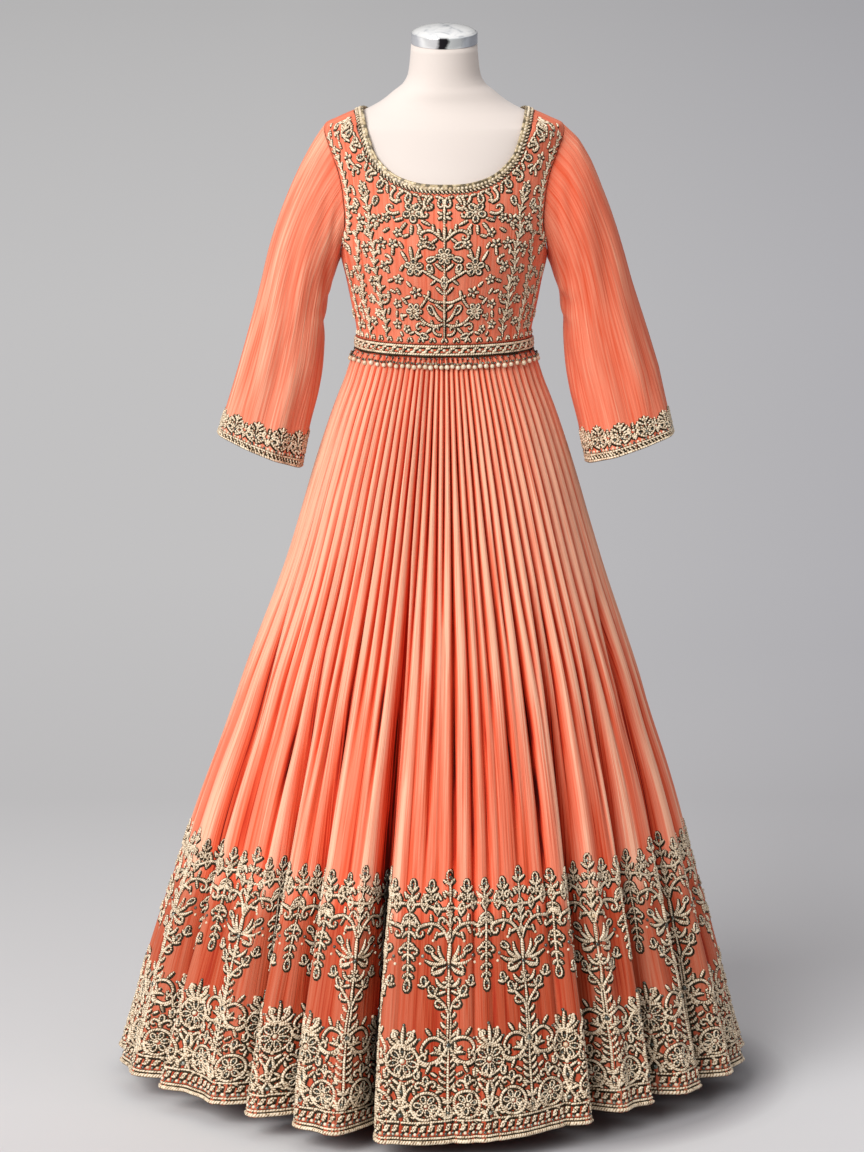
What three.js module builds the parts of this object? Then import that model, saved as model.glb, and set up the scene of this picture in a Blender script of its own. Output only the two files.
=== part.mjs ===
// Floor-length gathered kurta on a limbless dress form.
// Millimetres, +Z up. The front faces -Y and the wearer's left is +X.
// The origin is on the floor, at the centre of the stand's base.
import * as THREE from 'three';
import { mergeVertices } from 'three/addons/utils/BufferGeometryUtils.js';

// ---- driving dimensions ----
const GAP = 0.3;              // between sewn pieces
const BODICE_WALL = 1.5;
const BINDING_WALL = 2.2;
const BAND_WALL = 2.4;
const SLEEVE_WALL = 1.5;
const SKIRT_WALL = 1.6;
const FORM_CLEAR = 5.0;       // form's surface under the outer face of the cloth
const WAIST_Z = 1060;         // seam of skirt and waist band
const BAND_TOP_Z = 1078;      // seam of waist band and bodice
const BINDING_WIDTH = 12;
const PLEATS = 74;            // all round
const GORE_SEAMS = [-150, -90, -30, 30, 90, 150];
const HEM_SHIFT_X = -14;      // the hem hangs a little to the right hand side
const FRINGE_DROP = 18;
const FRINGE_THICK = 4.5;
const NECK_TOP = 1488;
const CAP_R = 46.5, CAP_SIDE = 16, CAP_DOME = 10, CAP_TILT = 6.5;
const POLE_R = 16, BASE_R = 190, BASE_H = 12;

const rad = (d) => d * Math.PI / 180;
const clamp = (x, a, b) => Math.min(b, Math.max(a, x));
const smooth = (t) => { const u = clamp(t, 0, 1); return u * u * (3 - 2 * u); };

// monotone cubic through the rows of a table, keyed on one column
function curve(rows, key, col) {
  const r = [...rows].sort((a, b) => a[key] - b[key]);
  const x = r.map((q) => q[key]), y = r.map((q) => q[col]), n = x.length;
  const d = [], m = [];
  for (let i = 0; i < n - 1; i++) d.push((y[i + 1] - y[i]) / (x[i + 1] - x[i]));
  m.push(d[0]);
  for (let i = 1; i < n - 1; i++) m.push(d[i - 1] * d[i] <= 0 ? 0 : 2 * d[i - 1] * d[i] / (d[i - 1] + d[i]));
  m.push(d[n - 2]);
  return (t) => {
    const v = clamp(t, x[0], x[n - 1]);
    let i = 0;
    while (i < n - 2 && v > x[i + 1]) i++;
    const h = x[i + 1] - x[i], s = (v - x[i]) / h;
    return y[i] * (1 + 2 * s) * (1 - s) ** 2 + m[i] * h * s * (1 - s) ** 2
      + y[i + 1] * s * s * (3 - 2 * s) + m[i + 1] * h * s * s * (s - 1);
  };
}
const table = (names, rows) => rows.map((r) => Object.fromEntries(names.map((n, i) => [n, r[i]])));

// ---- body of the garment: level sections of the bodice's outer face ----
const TORSO = table(['z', 'side', 'front', 'back'], [
  [1060, 123.5, 95, 88],
  [1088, 123, 96, 88],
  [1110, 127, 101, 91],
  [1135, 132, 109, 96],
  [1160, 137, 118, 101],
  [1190, 144, 126, 106],
  [1220, 148, 130, 110],
  [1250, 152, 128, 113],
  [1280, 156, 121, 114],
  [1305, 159, 112, 114],
  [1330, 163, 102, 112],
  [1350, 166, 94, 108],
  [1366, 168, 87, 102],
  [1376, 166, 82, 96],
  [1385, 149, 76, 88],
  [1393, 131, 70, 80],
  [1400, 113, 65, 74],
  [1412, 86, 57, 66],
  [1423, 69, 53, 60],
  [1433, 57, 50, 56],
  [1446, 50.5, 48, 53],
  [1463, 48, 47, 50],
  [1488, 46, 46, 47],
]);
const sideAt = curve(TORSO, 'z', 'side'), frontAt = curve(TORSO, 'z', 'front'), backAt = curve(TORSO, 'z', 'back');
// phi 0 is the centre front, 90 the wearer's left side, 180 the centre back
function torso(phi, z) {
  const s = Math.sin(rad(phi)), c = Math.cos(rad(phi));
  const depth = c >= 0 ? frontAt(z) : backAt(z);
  return new THREE.Vector3(sideAt(z) * s, -depth * c, z);
}
function torsoOut(phi, z) {
  const e = 0.5;
  const a = torso(phi + e, z).sub(torso(phi - e, z));
  const b = torso(phi, z + 1).sub(torso(phi, z - 1));
  return a.cross(b).normalize();
}
const phiOfX = (x, z) => Math.asin(clamp(x / sideAt(z), -1, 1)) * 180 / Math.PI;
// height of the shoulder line at a distance from the middle
function ridgeZ(x) {
  let lo = 1376, hi = 1440;
  for (let i = 0; i < 40; i++) { const m = (lo + hi) / 2; if (sideAt(m) > x) lo = m; else hi = m; }
  return (lo + hi) / 2;
}

// ---- solids ----
// cells: rings of corner ids seen anticlockwise from outside; every open edge is closed with a wall
function wall(cells, outer, inner) {
  const tris = [], edges = new Map();
  const o = (i) => outer[i], n = (i) => inner[i];
  for (const c of cells) {
    for (let k = 1; k < c.length - 1; k++) {
      tris.push([o(c[0]), o(c[k]), o(c[k + 1])]);
      tris.push([n(c[0]), n(c[k + 1]), n(c[k])]);
    }
    for (let k = 0; k < c.length; k++) edges.set(c[k] + '_' + c[(k + 1) % c.length], [c[k], c[(k + 1) % c.length]]);
  }
  for (const [a, b] of edges.values()) {
    if (edges.has(b + '_' + a)) continue;
    tris.push([o(b), o(a), n(a)], [o(b), n(a), n(b)]);
  }
  return solid(tris);
}
function solid(tris) {
  let vol = 0;
  for (const [a, b, c] of tris) vol += a.dot(new THREE.Vector3().crossVectors(b, c));
  const pos = [];
  for (const [a, b, c] of tris) for (const p of vol > 0 ? [a, b, c] : [a, c, b]) pos.push(p.x, p.y, p.z);
  let g = new THREE.BufferGeometry();
  g.setAttribute('position', new THREE.Float32BufferAttribute(pos, 3));
  g = mergeVertices(g, 1e-4);
  g.computeVertexNormals();
  return g;
}
// closed stack of rings with flat ends
function stack(rings) {
  const tris = [], n = rings[0].length;
  for (let j = 0; j < rings.length - 1; j++) for (let i = 0; i < n; i++) {
    const k = (i + 1) % n, a = rings[j][i], b = rings[j][k], c = rings[j + 1][k], d = rings[j + 1][i];
    tris.push([a, b, c], [a, c, d]);
  }
  for (const [ring, up] of [[rings[0], false], [rings[rings.length - 1], true]]) {
    const m = ring.reduce((s, p) => s.add(p), new THREE.Vector3()).divideScalar(n);
    for (let i = 0; i < n; i++) tris.push(up ? [ring[i], ring[(i + 1) % n], m] : [ring[(i + 1) % n], ring[i], m]);
  }
  return solid(tris);
}

const fabric = (color) => new THREE.MeshStandardMaterial({ color, roughness: 0.78, metalness: 0 });
const object = new THREE.Group();
function add(name, geometry, material) {
  const m = new THREE.Mesh(geometry, material);
  m.name = name;
  object.add(m);
  return m;
}

// ---- neckline ----
const NECK_FRONT = table(['x', 'z'], [[0, 1303], [36, 1305], [69, 1316], [93, 1338], [103, 1362], [109, 1384], [111.5, 1394.5], [113, 1400]]);
const NECK_BACK = table(['x', 'z'], [[0, 1372], [24, 1373], [46, 1375], [68, 1379], [88, 1385], [103, 1391.5], [109.5, 1397], [113, 1400]]);
// the sewn edge of the binding: the neckline moved out by the binding's width
function bindingEdge(neck) {
  return neck.map((p, i) => {
    if (i === neck.length - 1) { const z = ridgeZ(p.x + 0.93 * BINDING_WIDTH); return { phi: 90, z }; }
    if (i === 0) return { phi: 0, z: p.z - BINDING_WIDTH };
    const a = neck[i - 1], b = neck[i + 1], tx = b.x - a.x, tz = b.z - a.z, l = Math.hypot(tx, tz);
    const x = p.x + tz / l * BINDING_WIDTH, z = p.z - tx / l * BINDING_WIDTH;
    return { phi: phiOfX(x, z), z };
  });
}
const EDGE_FRONT = bindingEdge(NECK_FRONT), EDGE_BACK = bindingEdge(NECK_BACK);

// ---- bodice ----
// a row for each section from the waist to the shoulder seam: the inner end is
// the centre line and then the neck edge, the outer end the side seam and then the armhole
const FRONT_ROWS = table(['centreZ', 'outPhi', 'outZ'], [
  [1078, 90, 1078], [1110, 90, 1106], [1146, 90, 1134], [1182, 90, 1162], [1218, 90, 1188],
  [1255, 78, 1206], [1291, 68, 1232], [0, 64.5, 1258], [0, 64, 1284], [0, 66, 1310], [0, 71, 1336], [0, 78, 1357], [0, 84.5, 1369], [0, 90, 1376]]);
const BACK_ROWS = table(['centreZ', 'outPhi', 'outZ'], [
  [1078, 90, 1078], [1125, 90, 1106], [1175, 90, 1134], [1225, 90, 1162], [1275, 90, 1188],
  [1320, 78, 1206], [1360, 69, 1232], [0, 66, 1258], [0, 65.5, 1284], [0, 67, 1310], [0, 72, 1336], [0, 79, 1357], [0, 84.5, 1369], [0, 90, 1376]]);
const SCOOP_ROW = 6, HALF_COLS = 9, SEAM_PHI = 0.12;

function bodice(rows, edge, back) {
  const ids = new Map(), outer = [], inner = [], cells = [];
  const id = (s, i, j) => {
    const key = (i === 0 && j <= SCOOP_ROW ? 0 : s) + '_' + i + '_' + j;
    if (ids.has(key)) return ids.get(key);
    const r = rows[j], a = j < SCOOP_ROW ? { phi: 0, z: r.centreZ } : edge[j - SCOOP_ROW];
    const trim = (p) => Math.min(p, 90 - SEAM_PHI), u = i / HALF_COLS;
    const lift = j === 0 ? GAP : 0;
    let phi = (1 - u) * trim(a.phi) + u * trim(r.outPhi);
    const z = (1 - u) * a.z + u * r.outZ + lift;
    if (j === SCOOP_ROW && i === 0) phi = 0;
    phi = s * (back ? 180 - phi : phi);
    const n = torsoOut(phi, z), p = torso(phi, z);
    outer.push(p);
    inner.push(p.clone().addScaledVector(n, -BODICE_WALL));
    ids.set(key, outer.length - 1);
    return outer.length - 1;
  };
  for (const s of [1, -1]) for (let j = 0; j < rows.length - 1; j++) for (let i = 0; i < HALF_COLS; i++) {
    const c = [id(s, i, j), id(s, i + 1, j), id(s, i + 1, j + 1), id(s, i, j + 1)];
    cells.push((s > 0) !== back ? c : c.reverse());
  }
  return wall(cells, outer, inner);
}
const CORAL = 0xf0826a, GOLD = 0xc9b184;
add('bodice_front', bodice(FRONT_ROWS, EDGE_FRONT, false), fabric(CORAL));
add('bodice_back', bodice(BACK_ROWS, EDGE_BACK, true), fabric(CORAL));

// ---- neck binding: a closed strip between the opening and the bodice's edge ----
{
  const rim = (neck, back) => neck.map((p, i) => ({
    phi: i === neck.length - 1 ? 90 : phiOfX(p.x, p.z), z: p.z, back, k: i,
  }));
  const loop = [];
  const half = (neck, edge, back, s, from, to) => {
    const a = rim(neck, back);
    for (let i = from; from < to ? i <= to : i >= to; i += from < to ? 1 : -1) {
      const q = a[i], e = edge[i], sgn = (p) => s * (back ? 180 - p : p);
      loop.push({ in: [sgn(q.phi), q.z], out: [sgn(e.phi), e.z] });
    }
  };
  const last = NECK_FRONT.length - 1;
  half(NECK_FRONT, EDGE_FRONT, false, 1, 0, last);
  half(NECK_BACK, EDGE_BACK, true, 1, last - 1, 0);
  half(NECK_BACK, EDGE_BACK, true, -1, 1, last);
  half(NECK_FRONT, EDGE_FRONT, false, -1, last - 1, 1);
  const outer = [], inner = [], cells = [], n = loop.length;
  for (const q of loop) {
    const a = torso(...q.in), b = torso(...q.out), na = torsoOut(...q.in), nb = torsoOut(...q.out);
    b.addScaledVector(new THREE.Vector3().subVectors(a, b).normalize(), GAP + 0.15);
    for (const [p, nn] of [[a, na], [b, nb]]) {
      outer.push(p.clone().addScaledVector(nn, 0.7));
      inner.push(p.clone().addScaledVector(nn, 0.7 - BINDING_WALL));
    }
  }
  for (let i = 0; i < n; i++) { const k = (i + 1) % n; cells.push([2 * i, 2 * i + 1, 2 * k + 1, 2 * k]); }
  add('neck_binding', wall(cells, outer, inner), fabric(GOLD));
}

// ---- waist band ----
{
  const n = 36, outer = [], inner = [], cells = [];
  for (let i = 0; i < n; i++) {
    const phi = 360 * i / n;
    for (const z of [WAIST_Z, BAND_TOP_Z]) {
      const p = torso(phi, z), nn = torsoOut(phi, z);
      outer.push(p.clone().addScaledVector(nn, BAND_WALL - BODICE_WALL));
      inner.push(p.clone().addScaledVector(nn, -BODICE_WALL));
    }
  }
  for (let i = 0; i < n; i++) { const k = (i + 1) % n; cells.push([2 * i, 2 * k, 2 * k + 1, 2 * i + 1]); }
  add('waist_band', wall(cells, outer, inner), fabric(GOLD));
}

// ---- sleeves ----
// a row for each ring from the armhole to the cuff: outer and inner ends of the
// ring as seen from the front, and half its depth from front to back
const SLEEVE = table(['outX', 'outZ', 'inX', 'inZ', 'half', 'seam'], [
  [166, 1376, 145, 1188, 55, 1],
  [180, 1356, 148.5, 1180, 57, 0.6],
  [197, 1326, 153, 1166, 58, 0.25],
  [215, 1288, 158.5, 1149, 57, 0],
  [231, 1247, 164, 1127, 55, 0],
  [245, 1203, 167, 1101, 53, 0],
  [258, 1152, 168.5, 1074, 52, 0],
  [274, 1094, 172, 1040, 51, 0],
  [291, 1034, 179, 1000, 50, 0],
  [307, 981, 191, 950, 50, 0],
  [320, 940, 202, 891, 51, 0],
]);
// the left arm stands a little farther out and its cuff higher
const LEFT_OUT = [0, 7, 8, 6, 6, 6, 7, 9, 11, 8, 5], LEFT_UP = [0, 0, 0, 0, 0, 0, 0, 0, 1, 3, 7];
// the armhole as a closed loop, from the shoulder down the front, up the back
function armhole(t) {
  const f = (rows) => curve(rows.slice(4).map((r, i) => ({ t: i / 9, phi: r.outPhi, z: r.outZ })), 't', 'phi');
  const g = (rows) => curve(rows.slice(4).map((r, i) => ({ t: i / 9, phi: r.outPhi, z: r.outZ })), 't', 'z');
  const back = t > 0.5, v = back ? (t - 0.5) * 2 : 1 - t * 2, rows = back ? BACK_ROWS : FRONT_ROWS;
  const phi = f(rows)(v), z = g(rows)(v);
  return torso(back ? 180 - phi : phi, z);
}
function sleeve(s) {
  const n = 18, rings = [], mids = [];
  const mid0 = new THREE.Vector3(155, 0, 1283);
  for (const [j, r] of SLEEVE.entries()) {
    const wide = s > 0 ? LEFT_OUT[j] : 0, up = s > 0 ? LEFT_UP[j] : 0;
    const o = new THREE.Vector3(r.outX + wide, 0, r.outZ), q = new THREE.Vector3(r.inX, 0, r.inZ + up);
    const c = o.clone().add(q).multiplyScalar(0.5), u = o.clone().sub(q).multiplyScalar(0.5), ring = [];
    for (let i = 0; i < n; i++) {
      const t = i / n, a = t * 2 * Math.PI;
      const p = c.clone().addScaledVector(u, Math.cos(a)).add(new THREE.Vector3(0, -r.half * Math.sin(a), 0));
      if (r.seam > 0) {
        const h = armhole(t);
        h.addScaledVector(mid0.clone().sub(h).normalize(), 0.5);
        h.x += 0.6;
        const first = SLEEVE[0];
        const base = new THREE.Vector3((first.outX + first.inX) / 2, 0, (first.outZ + first.inZ) / 2)
          .add(new THREE.Vector3((first.outX - first.inX) / 2, 0, (first.outZ - first.inZ) / 2).multiplyScalar(Math.cos(a)))
          .add(new THREE.Vector3(0, -first.half * Math.sin(a), 0));
        p.add(h.sub(base).multiplyScalar(r.seam));
      }
      ring.push(p);
    }
    rings.push(ring);
    mids.push(ring.reduce((w, p) => w.add(p), new THREE.Vector3()).divideScalar(n));
  }
  const outer = [], inner = [], cells = [];
  rings.forEach((ring, j) => ring.forEach((p) => {
    const d = mids[j].clone().sub(p), l = d.length();
    const q = p.clone().addScaledVector(d, SLEEVE_WALL / l);
    outer.push(new THREE.Vector3(s * p.x, p.y, p.z));
    inner.push(new THREE.Vector3(s * q.x, q.y, q.z));
  }));
  for (let j = 0; j < rings.length - 1; j++) for (let i = 0; i < n; i++) {
    const k = (i + 1) % n, c = [j * n + i, (j + 1) * n + i, (j + 1) * n + k, j * n + k];
    cells.push(s > 0 ? c : c.reverse());
  }
  return wall(cells, outer, inner);
}
add('sleeve_left', sleeve(1), fabric(CORAL));
add('sleeve_right', sleeve(-1), fabric(CORAL));

// ---- skirt ----
// a row for each level section of the skirt over the crests of the pleats
const SKIRT = table(['z', 'side', 'front', 'back', 'pleat'], [
  [1060, 125, 97, 90, 3.5],
  [1050, 129, 101, 94, 4.2],
  [1040, 133, 104, 97, 4.8],
  [1020, 139.5, 111, 104, 5.6],
  [986, 153, 123, 115, 6.4],
  [952, 165, 135, 127, 7.0],
  [917, 176.5, 147, 139, 7.6],
  [883, 187, 159, 150, 8.0],
  [814, 207, 182, 173, 8.6],
  [745, 228, 206, 196, 8.6],
  [675, 251.5, 231, 220, 8.0],
  [605, 275.5, 256, 245, 7.4],
  [535, 298, 281, 270, 6.8],
  [465, 323, 306, 294, 6.2],
  [394, 346, 330, 318, 5.4],
  [323, 366, 353, 340, 4.6],
  [252, 388, 376, 363, 4.0],
  [181, 408, 399, 386, 3.6],
  [109, 425, 417, 406, 3.2],
  [20, 450, 434, 426, 3.0],
]);
const skirtCol = Object.fromEntries(['side', 'front', 'back', 'pleat'].map((c) => [c, curve(SKIRT, 'z', c)]));
// deep folds that open towards the hem: direction of the valley, depth at the hem, height where it dies out
const FOLDS = table(['phi', 'depth', 'top'], [
  [-168, 34, 620], [-150, 26, 520], [-133, 40, 700], [-108, 30, 560], [-86, 28, 540], [-65, 44, 680], [-41, 42, 620],
  [-29.5, 34, 560], [-12, 50, 760], [33, 48, 700], [51, 38, 600], [65, 42, 660], [86, 30, 560], [108, 38, 660],
  [128, 28, 520], [156, 40, 640], [174, 26, 500],
]);
const HEM_Z = 34, HEM_DIP = 7;
// pleats are spaced so that they look even from the front and the back
function pleatPhi(k) {
  const total = (360 * 0.4 + 4 * 0.6 * 180 / Math.PI);
  const count = (phi) => {
    const q = Math.floor((phi + 90) / 180), r = phi - q * 180;
    return PLEATS * (0.4 * phi + 0.6 * 180 / Math.PI * (2 * q + Math.sin(rad(r)))) / total;
  };
  let lo = -400, hi = 400;
  for (let i = 0; i < 50; i++) { const m = (lo + hi) / 2; if (count(m) < k) lo = m; else hi = m; }
  return (lo + hi) / 2;
}
function skirtRadius(phi, z, valley) {
  const s = Math.sin(rad(phi)), c = Math.cos(rad(phi));
  const a = skirtCol.side(z), b = c >= 0 ? skirtCol.front(z) : skirtCol.back(z);
  const low = smooth((950 - z) / 800);
  let r = 1 / Math.hypot(s / a, c / b) * (1 - 0.10 * low * Math.sin(rad(2 * phi)) ** 2);
  r *= 1 + 0.022 * smooth((800 - z) / 200) * Math.max(0, -s) ** 2;
  if (valley) r -= skirtCol.pleat(z);
  for (const f of FOLDS) {
    const d = Math.abs(((phi - f.phi + 540) % 360) - 180);
    const w = clamp((f.top - z) / (f.top - HEM_Z), 0, 1) ** 1.4;
    r -= f.depth * w * Math.exp(-((d / 3.4) ** 2));
  }
  return r;
}
function skirtPoint(phi, r, z) {
  return new THREE.Vector3(r * Math.sin(rad(phi)) + HEM_SHIFT_X * smooth((700 - z) / 700), -r * Math.cos(rad(phi)), z);
}
{
  const cols = 2 * PLEATS, levels = [WAIST_Z - GAP, 1030, 950, 800, 620, 430, 230, HEM_Z];
  const phis = Array.from({ length: cols }, (_, c) => pleatPhi(c / 2 - PLEATS / 2));
  // the seams lie in the pleat valleys nearest to their stated directions
  const seams = GORE_SEAMS.map((p) => {
    let best = 0;
    for (let c = 0; c < cols; c += 2) {
      const e = (k) => Math.abs(((phis[k] - p + 540) % 360) - 180);
      if (e(c) < e(best)) best = c;
    }
    return best;
  });
  const names = ['skirt_back_right', 'skirt_front_right', 'skirt_front_centre', 'skirt_front_left', 'skirt_back_left', 'skirt_back_centre'];
  const order = seams.map((c, i) => i);
  order.forEach((i) => {
    const from = seams[i], to = seams[(i + 1) % seams.length], span = (to - from + cols) % cols;
    const outer = [], inner = [], cells = [];
    for (let k = 0; k <= span; k++) {
      const c = (from + k) % cols, turn = from + k >= cols ? 360 : 0, phi0 = phis[c] + turn;
      levels.forEach((z0) => {
        const dip = HEM_DIP * Math.exp(-(((((phi0 + 540) % 360) - 180) / 28) ** 2));
        const z = z0 - dip * smooth((500 - z0) / 500);
        const r = skirtRadius(phi0, z, c % 2 === 0);
        const nudge = (k === 0 ? 1 : k === span ? -1 : 0) * 0.2 / r * 180 / Math.PI;
        const phi = phi0 + nudge;
        outer.push(skirtPoint(phi, r, z));
        inner.push(skirtPoint(phi, r - SKIRT_WALL * 1.15, z - SKIRT_WALL * 0.3 * (z0 === levels[0] || z0 === HEM_Z ? 0 : 1)));
      });
    }
    const m = levels.length;
    for (let k = 0; k < span; k++) for (let j = 0; j < m - 1; j++) {
      cells.push([k * m + j, k * m + j + 1, (k + 1) * m + j + 1, (k + 1) * m + j]);
    }
    add(names[i], wall(cells, outer, inner), fabric(CORAL));
  });
}

// ---- ring of hanging beads under the waist band ----
{
  const n = 36, outer = [], inner = [], cells = [];
  for (let i = 0; i < n; i++) {
    const phi = 360 * i / n;
    for (const z of [WAIST_Z - FRINGE_DROP, WAIST_Z - 1]) {
      const r = skirtRadius(phi, z, false) * 1.006 + 1.2;
      outer.push(skirtPoint(phi, r + FRINGE_THICK, z));
      inner.push(skirtPoint(phi, r, z));
    }
  }
  for (let i = 0; i < n; i++) { const k = (i + 1) % n; cells.push([2 * i, 2 * k, 2 * k + 1, 2 * i + 1]); }
  add('waist_bead_fringe', wall(cells, outer, inner), fabric(0xe9dfc8));
}

// ---- dress form ----
// hips below the waist seam; above it the form follows the bodice from inside
const HIPS = table(['z', 'side', 'front', 'back'], [
  [800, 156, 108, 113], [830, 158, 110, 117], [870, 155, 110, 118], [910, 149, 107, 113], [950, 139, 101, 106],
  [985, 127, 95, 97], [1015, 119, 91, 89], [1040, 117.5, 90, 84.5],
]);
{
  const n = 32, rings = [];
  const hip = Object.fromEntries(['side', 'front', 'back'].map((c) => [c, curve(HIPS, 'z', c)]));
  for (const z of [800, 815, 850, 890, 930, 970, 1010, 1040]) {
    const edge = z === 800 ? 0.93 : z === 815 ? 0.99 : 1;
    rings.push(Array.from({ length: n }, (_, i) => {
      const a = rad(360 * i / n), c = Math.cos(a);
      return new THREE.Vector3(hip.side(z) * Math.sin(a) * edge, -(c >= 0 ? hip.front(z) : hip.back(z)) * c * edge, z);
    }));
  }
  for (const z of [1070, 1100, 1130, 1160, 1190, 1220, 1250, 1280, 1310, 1335, 1355, 1368, 1376, 1382, 1388, 1394, 1400, 1406, 1413, 1421, 1430, 1441, 1456, 1472]) {
    const clear = FORM_CLEAR * (1 - smooth((z - 1398) / 26));
    rings.push(Array.from({ length: n }, (_, i) => {
      const phi = 360 * i / n;
      return torso(phi, z).addScaledVector(torsoOut(phi, z), -clear);
    }));
  }
  // the top of the neck leans forward like the cap
  const top = Array.from({ length: n }, (_, i) => {
    const phi = 360 * i / n, p = torso(phi, NECK_TOP);
    p.z = NECK_TOP + Math.tan(rad(CAP_TILT)) * p.y;
    return p;
  });
  rings.push(top);
  add('form_torso', stack(rings), new THREE.MeshStandardMaterial({ color: 0xf3e6dc, roughness: 0.85, metalness: 0 }));
}
{
  const r = CAP_R, pts = [new THREE.Vector2(0, 0), new THREE.Vector2(r - 0.6, 0), new THREE.Vector2(r, 1), new THREE.Vector2(r, CAP_SIDE - 1.6), new THREE.Vector2(r - 1.6, CAP_SIDE)];
  for (let i = 1; i <= 5; i++) {
    const a = i / 5 * Math.PI / 2;
    pts.push(new THREE.Vector2(i === 5 ? 0 : (r - 1.6) * Math.cos(a), CAP_SIDE + CAP_DOME * Math.sin(a)));
  }
  const g = new THREE.LatheGeometry(pts, 40);
  g.rotateX(Math.PI / 2);
  const m = add('neck_cap', g, new THREE.MeshStandardMaterial({ color: 0xd8dade, roughness: 0.12, metalness: 1 }));
  m.position.set(0, 0, NECK_TOP + GAP);
  m.rotation.x = rad(CAP_TILT);
}
{
  const g = new THREE.CylinderGeometry(POLE_R, POLE_R, 800 - BASE_H - 2 * GAP, 28);
  g.rotateX(Math.PI / 2);
  const m = add('form_pole', g, new THREE.MeshStandardMaterial({ color: 0xb9bcc2, roughness: 0.2, metalness: 1 }));
  m.position.set(0, 0, BASE_H + GAP + (800 - BASE_H - 2 * GAP) / 2);
  const b = new THREE.LatheGeometry([new THREE.Vector2(0, 0), new THREE.Vector2(BASE_R, 0), new THREE.Vector2(BASE_R, 5),
    new THREE.Vector2(BASE_R - 3, 7.5), new THREE.Vector2(BASE_R - 40, 10), new THREE.Vector2(34, BASE_H), new THREE.Vector2(0, BASE_H)], 48);
  b.rotateX(Math.PI / 2);
  add('form_base', b, new THREE.MeshStandardMaterial({ color: 0xb9bcc2, roughness: 0.22, metalness: 1 }));
}

export default object;
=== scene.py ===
import math
import bpy
import numpy as np
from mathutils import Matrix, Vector
from mathutils.bvhtree import BVHTree


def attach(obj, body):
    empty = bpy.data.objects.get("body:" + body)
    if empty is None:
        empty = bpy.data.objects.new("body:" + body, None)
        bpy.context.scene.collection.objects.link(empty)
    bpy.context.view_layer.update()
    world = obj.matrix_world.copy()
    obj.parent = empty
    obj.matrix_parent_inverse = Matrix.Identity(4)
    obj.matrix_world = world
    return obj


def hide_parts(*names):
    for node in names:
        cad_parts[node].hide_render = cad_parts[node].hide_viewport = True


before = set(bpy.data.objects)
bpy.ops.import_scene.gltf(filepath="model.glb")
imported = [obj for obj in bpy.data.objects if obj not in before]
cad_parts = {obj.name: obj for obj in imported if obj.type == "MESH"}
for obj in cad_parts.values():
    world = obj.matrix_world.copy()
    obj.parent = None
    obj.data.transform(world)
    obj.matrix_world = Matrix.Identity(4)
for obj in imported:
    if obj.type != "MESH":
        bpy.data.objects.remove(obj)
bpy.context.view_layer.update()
RNG = np.random.default_rng(7)
MM = 0.001

# ------------------------------------------------------------------ numbers
GAP = 0.3
WAIST_Z, BAND_TOP_Z = 1060.0, 1078.0
BINDING_WIDTH = 12.0
PLEATS = 74
GORE_SEAMS = [-150, -90, -30, 30, 90, 150]
HEM_SHIFT_X = -14.0
HEM_Z, HEM_DIP = 34.0, 7.0
FORM_CLEAR = 5.0
NECK_TOP = 1488.0
CAP_R, CAP_SIDE, CAP_DOME, CAP_TILT = 46.5, 16.0, 10.0, 6.5
POLE_R, BASE_R, BASE_H = 16.0, 190.0, 12.0


def rad(d):
    return np.asarray(d, float) * math.pi / 180


def smooth(t):
    u = np.clip(t, 0, 1)
    return u * u * (3 - 2 * u)


def curve(rows, key, col):
    r = sorted(rows, key=lambda q: q[key])
    x = np.array([q[key] for q in r], float)
    y = np.array([q[col] for q in r], float)
    n = len(x)
    d = np.diff(y) / np.diff(x)
    m = np.zeros(n)
    m[0], m[-1] = d[0], d[-1]
    for i in range(1, n - 1):
        m[i] = 0 if d[i - 1] * d[i] <= 0 else 2 * d[i - 1] * d[i] / (d[i - 1] + d[i])

    def f(t):
        v = np.clip(np.asarray(t, float), x[0], x[-1])
        i = np.clip(np.searchsorted(x, v, side="right") - 1, 0, n - 2)
        h = x[i + 1] - x[i]
        s = (v - x[i]) / h
        return (y[i] * (1 + 2 * s) * (1 - s) ** 2 + m[i] * h * s * (1 - s) ** 2
                + y[i + 1] * s * s * (3 - 2 * s) + m[i + 1] * h * s * s * (s - 1))
    return f


def table(names, rows):
    return [dict(zip(names, r)) for r in rows]


TORSO = table(["z", "side", "front", "back"], [
    (1060, 123.5, 95, 88), (1088, 123, 96, 88), (1110, 127, 101, 91), (1135, 132, 109, 96), (1160, 137, 118, 101),
    (1190, 144, 126, 106), (1220, 148, 130, 110), (1250, 152, 128, 113), (1280, 156, 121, 114), (1305, 159, 112, 114),
    (1330, 163, 102, 112), (1350, 166, 94, 108), (1366, 168, 87, 102), (1376, 166, 82, 96), (1385, 149, 76, 88),
    (1393, 131, 70, 80), (1400, 113, 65, 74), (1412, 86, 57, 66), (1423, 69, 53, 60), (1433, 57, 50, 56),
    (1446, 50.5, 48, 53), (1463, 48, 47, 50), (1488, 46, 46, 47)])
side_at, front_at, back_at = (curve(TORSO, "z", c) for c in ("side", "front", "back"))


def torso(phi, z):
    phi, z = np.broadcast_arrays(np.asarray(phi, float), np.asarray(z, float))
    s, c = np.sin(rad(phi)), np.cos(rad(phi))
    depth = np.where(c >= 0, front_at(z), back_at(z))
    return np.stack([side_at(z) * s, -depth * c, z], -1)


def unit(v):
    return v / np.maximum(np.linalg.norm(v, axis=-1, keepdims=True), 1e-9)


def torso_out(phi, z):
    a = torso(phi + 0.5, z) - torso(phi - 0.5, z)
    b = torso(phi, z + 1) - torso(phi, z - 1)
    return unit(np.cross(a, b))


def phi_of_x(x, z):
    return np.degrees(np.arcsin(np.clip(x / side_at(z), -1, 1)))


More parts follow.
